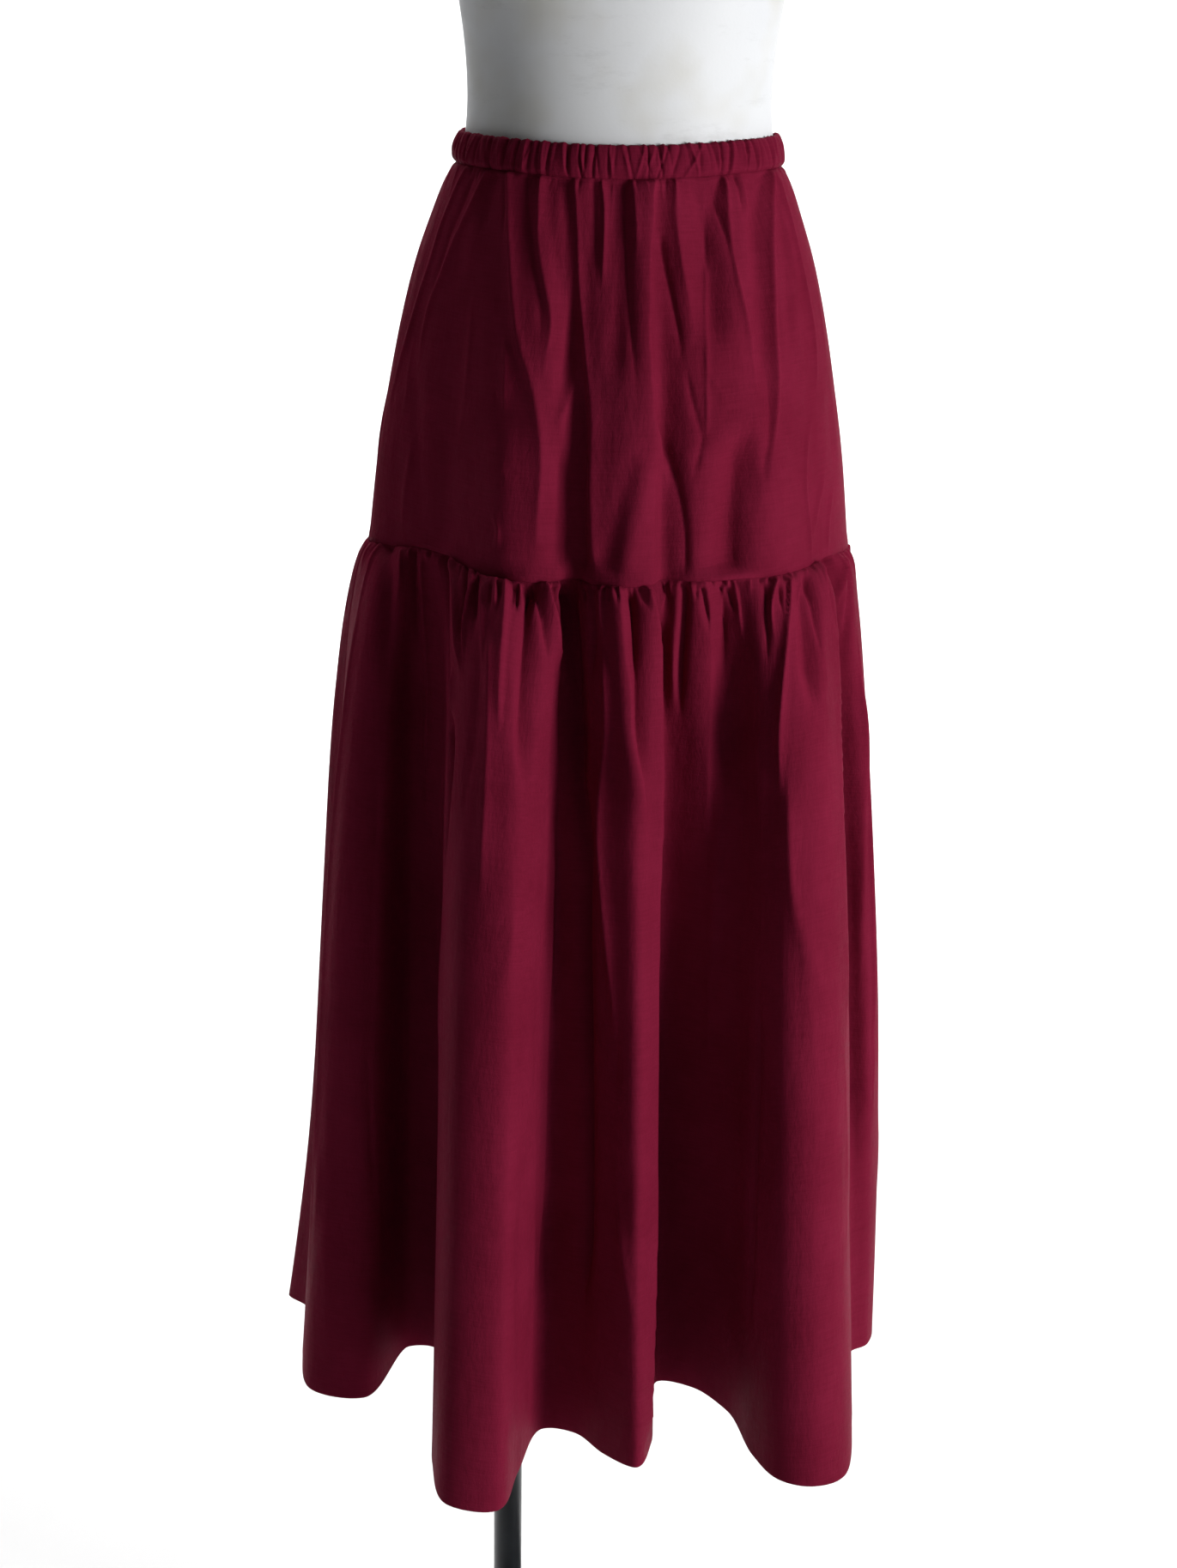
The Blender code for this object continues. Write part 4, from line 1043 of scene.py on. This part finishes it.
def row_shares(length, tuck, spacing):
    """Shares of a tier's height for its rows: spacing gives the step, in millimetres, by depth."""
    depths = [-tuck]
    table = np.array(spacing, dtype=float) * MM
    while depths[-1] < length - 0.0005:
        depths.append(depths[-1] + np.interp(depths[-1], table[:, 0], table[:, 1]))
    depths = np.array(depths)
    return np.where(depths < 0, depths / length, depths / depths[-1])


def pinch_seams(sheet, half, depth, width):
    """The side seams: a shallow groove along the first and the middle column."""
    for column in (0, half):
        steps = np.arange(-12, 13)
        columns = (column + steps) % (2 * half)
        away = np.cumsum(sheet.steps[:, columns], axis=1)
        away = away - away[:, 12:13]
        sheet.push[:, columns] -= depth * MM * np.exp(-(away / (width * MM)) ** 2)


def band_edges(angles):
    """How far the band's top edge sags and its lower edge rises at each angle."""
    sag = BAND_SAG * np.maximum(np.cos(angles), 0.0) ** 2
    rise = BAND_RISE * np.sin(angles) ** 2
    return sag, rise


def make_band():
    seam = fold_ends()[0]
    at = panel_stations(450, 0.0)
    plan = spline_point(seam[:, :2], at)
    angles = np.arctan2(plan[:, 0], -plan[:, 1])
    belows = np.concatenate([[0.0, 0.0007, 0.0016, 0.0028], np.linspace(0.0042, 0.0215, 14),
                             [0.0228, 0.0240, 0.0249, 0.0255]])
    grid = band_base(angles, belows)
    sag, rise = band_edges(angles)
    part = (belows / BAND_DEPTH)[:, None]
    grid[:, :, 2] += rise * part - sag * (1 - part)
    sheet = Sheet(at, belows / BAND_DEPTH, grid)
    dice = np.random.RandomState(31)
    for row in BAND_PLEATS:
        sheet.pleats(*row, 0, dice, leaning=BAND_LEAN)
    share = belows / BAND_DEPTH
    bulge = np.sin(math.pi * np.clip(share, 0, 1)) ** 0.6
    ruffle = sheet.push[3] + 0.4 * MM
    sheet.push *= (0.45 + 0.55 * bulge)[:, None]
    sheet.push += (2.2 * MM * bulge - 0.4 * MM - 0.9 * MM * ease((share - 0.86) / 0.14))[:, None]
    rim = np.clip(1 - belows / 0.006, 0, 1) ** 1.5
    sheet.grid[:, :, 2] += 0.55 * ruffle[None, :] * rim[:, None]
    return sheet


def make_upper():
    at = panel_stations(UPPER_COLUMNS, 0.0)
    downs = row_shares(UPPER_END - BAND_DEPTH, 0.0, UPPER_SPACING)
    grid = upper_base(at, downs)
    seam_plan = spline_point(fold_ends()[0][:, :2], at)
    rise = band_edges(np.arctan2(seam_plan[:, 0], -seam_plan[:, 1]))[1]
    grid[:, :, 2] += rise * ((1 - downs) ** 4)[:, None]
    sheet = Sheet(at, downs, grid)
    dice = np.random.RandomState(11)
    for row in WAIST_PLEATS:
        sheet.pleats(*row, 0, dice, hidden=row[3][1] > SHORT_PLEAT)
    sheet.waves(WAIST_WAVES, 0, dice)
    for row in UPPER_CREASES:
        sheet.crease(*row)
    sheet.ripple(seed=5, **UPPER_RIPPLES)
    calm = ease((1 - downs) / 0.06)
    sheet.push *= (0.70 + 0.30 * calm)[:, None]
    sheet.push *= ease(0.25 + downs * (UPPER_END - BAND_DEPTH) / 0.003)[:, None]
    sheet.push -= (1.1 * MM * ease(1 - downs * (UPPER_END - BAND_DEPTH) / 0.0035))[:, None]
    pinch_seams(sheet, UPPER_COLUMNS, 0.5, 1.4)
    hem = np.clip(1 - (1 - downs) * (UPPER_END - BAND_DEPTH) / 0.009, 0, 1)
    sheet.push += (0.5 * MM * ease(hem * 3))[:, None]
    seam_push = sheet.push[-1].copy()
    sheet.keep_off_form()
    return sheet, seam_push


def make_lower(upper, seam_push):
    at = panel_stations(LOWER_COLUMNS, HEM_SHARE)
    length = LOWER_END - UPPER_END
    downs = row_shares(length, TUCK, LOWER_SPACING)
    sheet = Sheet(at, downs, lower_base(at, np.clip(downs, 0, 1)))
    sheet.grid[:, :, 2] -= (np.minimum(downs, 0) * length)[:, None]
    sheet.normal[downs < 0.004] = sheet.normal[np.searchsorted(downs, 0.004)]
    falls = np.linalg.norm(np.diff(sheet.grid, axis=0), axis=2)
    sheet.fall = np.concatenate([np.zeros((1, len(at))), np.cumsum(falls, axis=0)]) - TUCK
    seam_row = int(np.searchsorted(downs, 0.0))
    dice = np.random.RandomState(23)
    for row in TIER_PLEATS:
        sheet.pleats(*row, seam_row, dice, hidden=row[3][1] > SHORT_PLEAT)
    sheet.waves(TIER_WAVES, seam_row, dice)
    for row in LOWER_CREASES:
        sheet.crease(*row)
    sheet.ripple(seed=9, **LOWER_RIPPLES)
    below = np.maximum(downs, 0) * length
    sheet.push *= ease(0.20 + below / 0.0022)[:, None]
    carried = np.interp(at, upper.at, seam_push, period=len(LOWER_FOLDS))
    sheet.push += (carried - 0.0005) * np.exp(-below / 0.030)[:, None]
    table = np.array(TIER_PUFF)
    sheet.push += (np.interp(downs * length / MM, table[:, 0], table[:, 1]) * MM)[:, None]
    pinch_seams(sheet, LOWER_COLUMNS, 0.6, 1.6)
    return sheet


def thickness(sheet, cloth, hem=0.0, extra=0.0):
    """Half thickness to the outside and to the inside, for each row."""
    rows = len(sheet.downs)
    outer = np.full(rows, cloth / 2)
    inner = np.full(rows, cloth / 2)
    if hem:
        left = (sheet.fall[-1] - sheet.fall).mean(axis=1)
        inner += np.where(left < hem, extra, 0.0)
        outer += np.where(left < hem, extra * 0.12, 0.0)
    return outer, inner


def build_skirt():
    cloth = cloth_material("burgundy_weave", (0.130, 0.0065, 0.0215, 1.0),
                           (0.190, 0.0115, 0.0360, 1.0), 620.0)
    # The waistband is the same cloth as the tiers. Its darker base colours are painted shade for the
    # shadows in its gathers.
    band_cloth_painted_shade = cloth_material("burgundy_casing_painted_shade", (0.115, 0.0056, 0.0190, 1.0),
                                (0.175, 0.0100, 0.0325, 1.0), 620.0)
    band = make_band()
    picks = np.arange(len(band.at))
    upper, seam_push = make_upper()
    thing = add_cloth("waistband_cloth", band, picks, True,
                      thickness(band, BAND_CLOTH), band_cloth_painted_shade)
    place_piece(thing, "waistband")
    for tier, sheet, half, rests in (
            ("upper", upper, UPPER_COLUMNS, ["waistband"]),
            ("lower", make_lower(upper, seam_push), LOWER_COLUMNS, ["upper_front", "upper_back"])):
        whole = 2 * half
        hem = (HEM_DEPTH, HEM_EXTRA) if tier == "lower" else (0.0, 0.0)
        for side, picks in (("front", np.arange(half + 1)), ("back", np.arange(half, whole + 1) % whole)):
            name = tier + "_" + side
            thing = add_cloth(name + "_cloth", sheet, picks, False,
                              thickness(sheet, CLOTH, *hem), cloth)
            place_piece(thing, name)


def place_piece(thing, node):
    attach(thing, "root")
    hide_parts(node)


# The display form and its stand

def build_stand():
    shell = shell_material("form_paint")
    metal = metal_material("stand_coat")
    sections = resample([(WAIST_TOP + row[0],) + row[1:] for row in FORM_SECTIONS], 170)
    place_piece(add_turned("form_shell_shown", sections, 144, (0.0, 0.0), shell),
                "form_torso")
    bottom = WAIST_TOP + FORM_SECTIONS[0][0]
    collar_top = bottom - SEAM_GAP
    collar_bottom = collar_top - COLLAR_HEIGHT
    hub_bottom = FOOT_HEIGHT + SEAM_GAP
    hub_top = hub_bottom + HUB_HEIGHT
    collar = rod_sections(collar_bottom, collar_top, COLLAR_RADIUS, 0.0012, (0.35,), 0.0005)
    hub = rod_sections(hub_bottom, hub_top, HUB_RADIUS, 0.0020, (0.30,), 0.0006)
    pole = rod_sections(hub_top + SEAM_GAP, collar_bottom - SEAM_GAP, POLE_RADIUS, 0.0004, (), 0.0)
    middle = (POLE_X, 0.0)
    place_piece(add_turned("collar_shown", collar, 64, middle, metal), "stand_collar")
    place_piece(add_turned("pole_shown", pole, 64, middle, metal), "stand_pole")
    place_piece(add_turned("hub_shown", hub, 64, middle, metal), "stand_hub")
    foot = add_turned("foot_shown", FOOT_SECTIONS, 160, (0.0, 0.0), metal)
    place_piece(foot, "stand_foot")


def rod_sections(bottom, top, radius, bevel, rings, depth):
    """Levels of a rod with rounded ends and shallow turned rings at shares of its height."""
    levels = [(bottom, radius - bevel), (bottom + bevel * 0.3, radius - bevel * 0.3),
              (bottom + bevel, radius)]
    for share in rings:
        z = bottom + (top - bottom) * share
        levels += [(z - 0.0012, radius), (z - 0.0006, radius - depth), (z + 0.0006, radius - depth),
                   (z + 0.0012, radius)]
    levels += [(top - bevel, radius), (top - bevel * 0.3, radius - bevel * 0.3), (top, radius - bevel)]
    return [(z, r, r, 0.0) for z, r in levels]


# Studio

CAMERA_PLACE = (-0.015, -1.728, 1.452)
CAMERA_DOWN = 18.48      # degrees below level
CAMERA_ROLL = 0.82       # degrees
CAMERA_LENS = 54.19      # millimetres, on a sensor 36 mm wide

LIGHTS = (
    # name, place, toward, size, power, spread
    ("key", (2.26, -1.45, 1.35), (0.0, 0.0, 0.85), (0.8, 1.2), 72.0, 180.0),
    ("fill", (-2.7, -0.9, 1.4), (0.0, 0.0, 0.9), (1.4, 1.8), 1.6, 180.0),
    ("floor_light", (0.0, 1.75, 3.3), (0.0, 1.76, 0.0), (4.4, 2.2), 125.0, 120.0),
    ("backdrop_light", (0.0, 2.2, 3.0), (0.0, 4.2, 1.2), (5.0, 0.8), 85.0, 120.0),
)


def add_backdrop():
    """A floor that turns up into a backdrop behind the object."""
    bend = [(3.0 + 1.4 * math.sin(a), 1.4 - 1.4 * math.cos(a)) for a in np.linspace(0, math.pi / 2, 24)]
    line = [(-9.0, 0.0), (-4.0, 0.0), (0.0, 0.0)] + bend + [(4.4, 4.0), (4.4, 7.0)]
    points = np.array([(x, y, z) for y, z in line for x in (-8.0, 8.0)])
    number = np.arange(len(points)).reshape(-1, 2)
    faces = [strip_faces(number[:, 0], number[:, 1])[:, ::-1]]
    uvs = points[:, :2].copy()
    thing = add_faces("backdrop", points, faces, uvs, backdrop_material("backdrop_paper"))
    thing.location.z = -0.0002


def add_area(name, place, toward, size, power, spread):
    light = bpy.data.lights.new(name, "AREA")
    light.shape = "RECTANGLE"
    light.size, light.size_y = size
    light.energy = power
    light.spread = math.radians(spread)
    thing = bpy.data.objects.new(name, light)
    thing.location = place
    thing.rotation_euler = (Vector(toward) - Vector(place)).to_track_quat("-Z", "Y").to_euler()
    bpy.context.scene.collection.objects.link(thing)


def add_camera():
    data = bpy.data.cameras.new("camera")
    data.lens = CAMERA_LENS
    data.sensor_width = 36.0
    camera = bpy.data.objects.new("camera", data)
    camera.matrix_world = (Matrix.Translation(CAMERA_PLACE)
                           @ Matrix.Rotation(math.radians(90 - CAMERA_DOWN), 4, "X")
                           @ Matrix.Rotation(math.radians(CAMERA_ROLL), 4, "Z"))
    bpy.context.scene.collection.objects.link(camera)
    bpy.context.scene.camera = camera


def add_world():
    world = bpy.data.worlds.new("studio")
    world.use_nodes = True
    world.node_tree.nodes["Background"].inputs["Color"].default_value = (0.95, 0.97, 1.0, 1.0)
    world.node_tree.nodes["Background"].inputs["Strength"].default_value = 0.05
    bpy.context.scene.world = world


build_skirt()
build_stand()
add_backdrop()
for light_row in LIGHTS:
    add_area(*light_row)
add_camera()
add_world()
bpy.context.scene.view_settings.view_transform = "Standard"
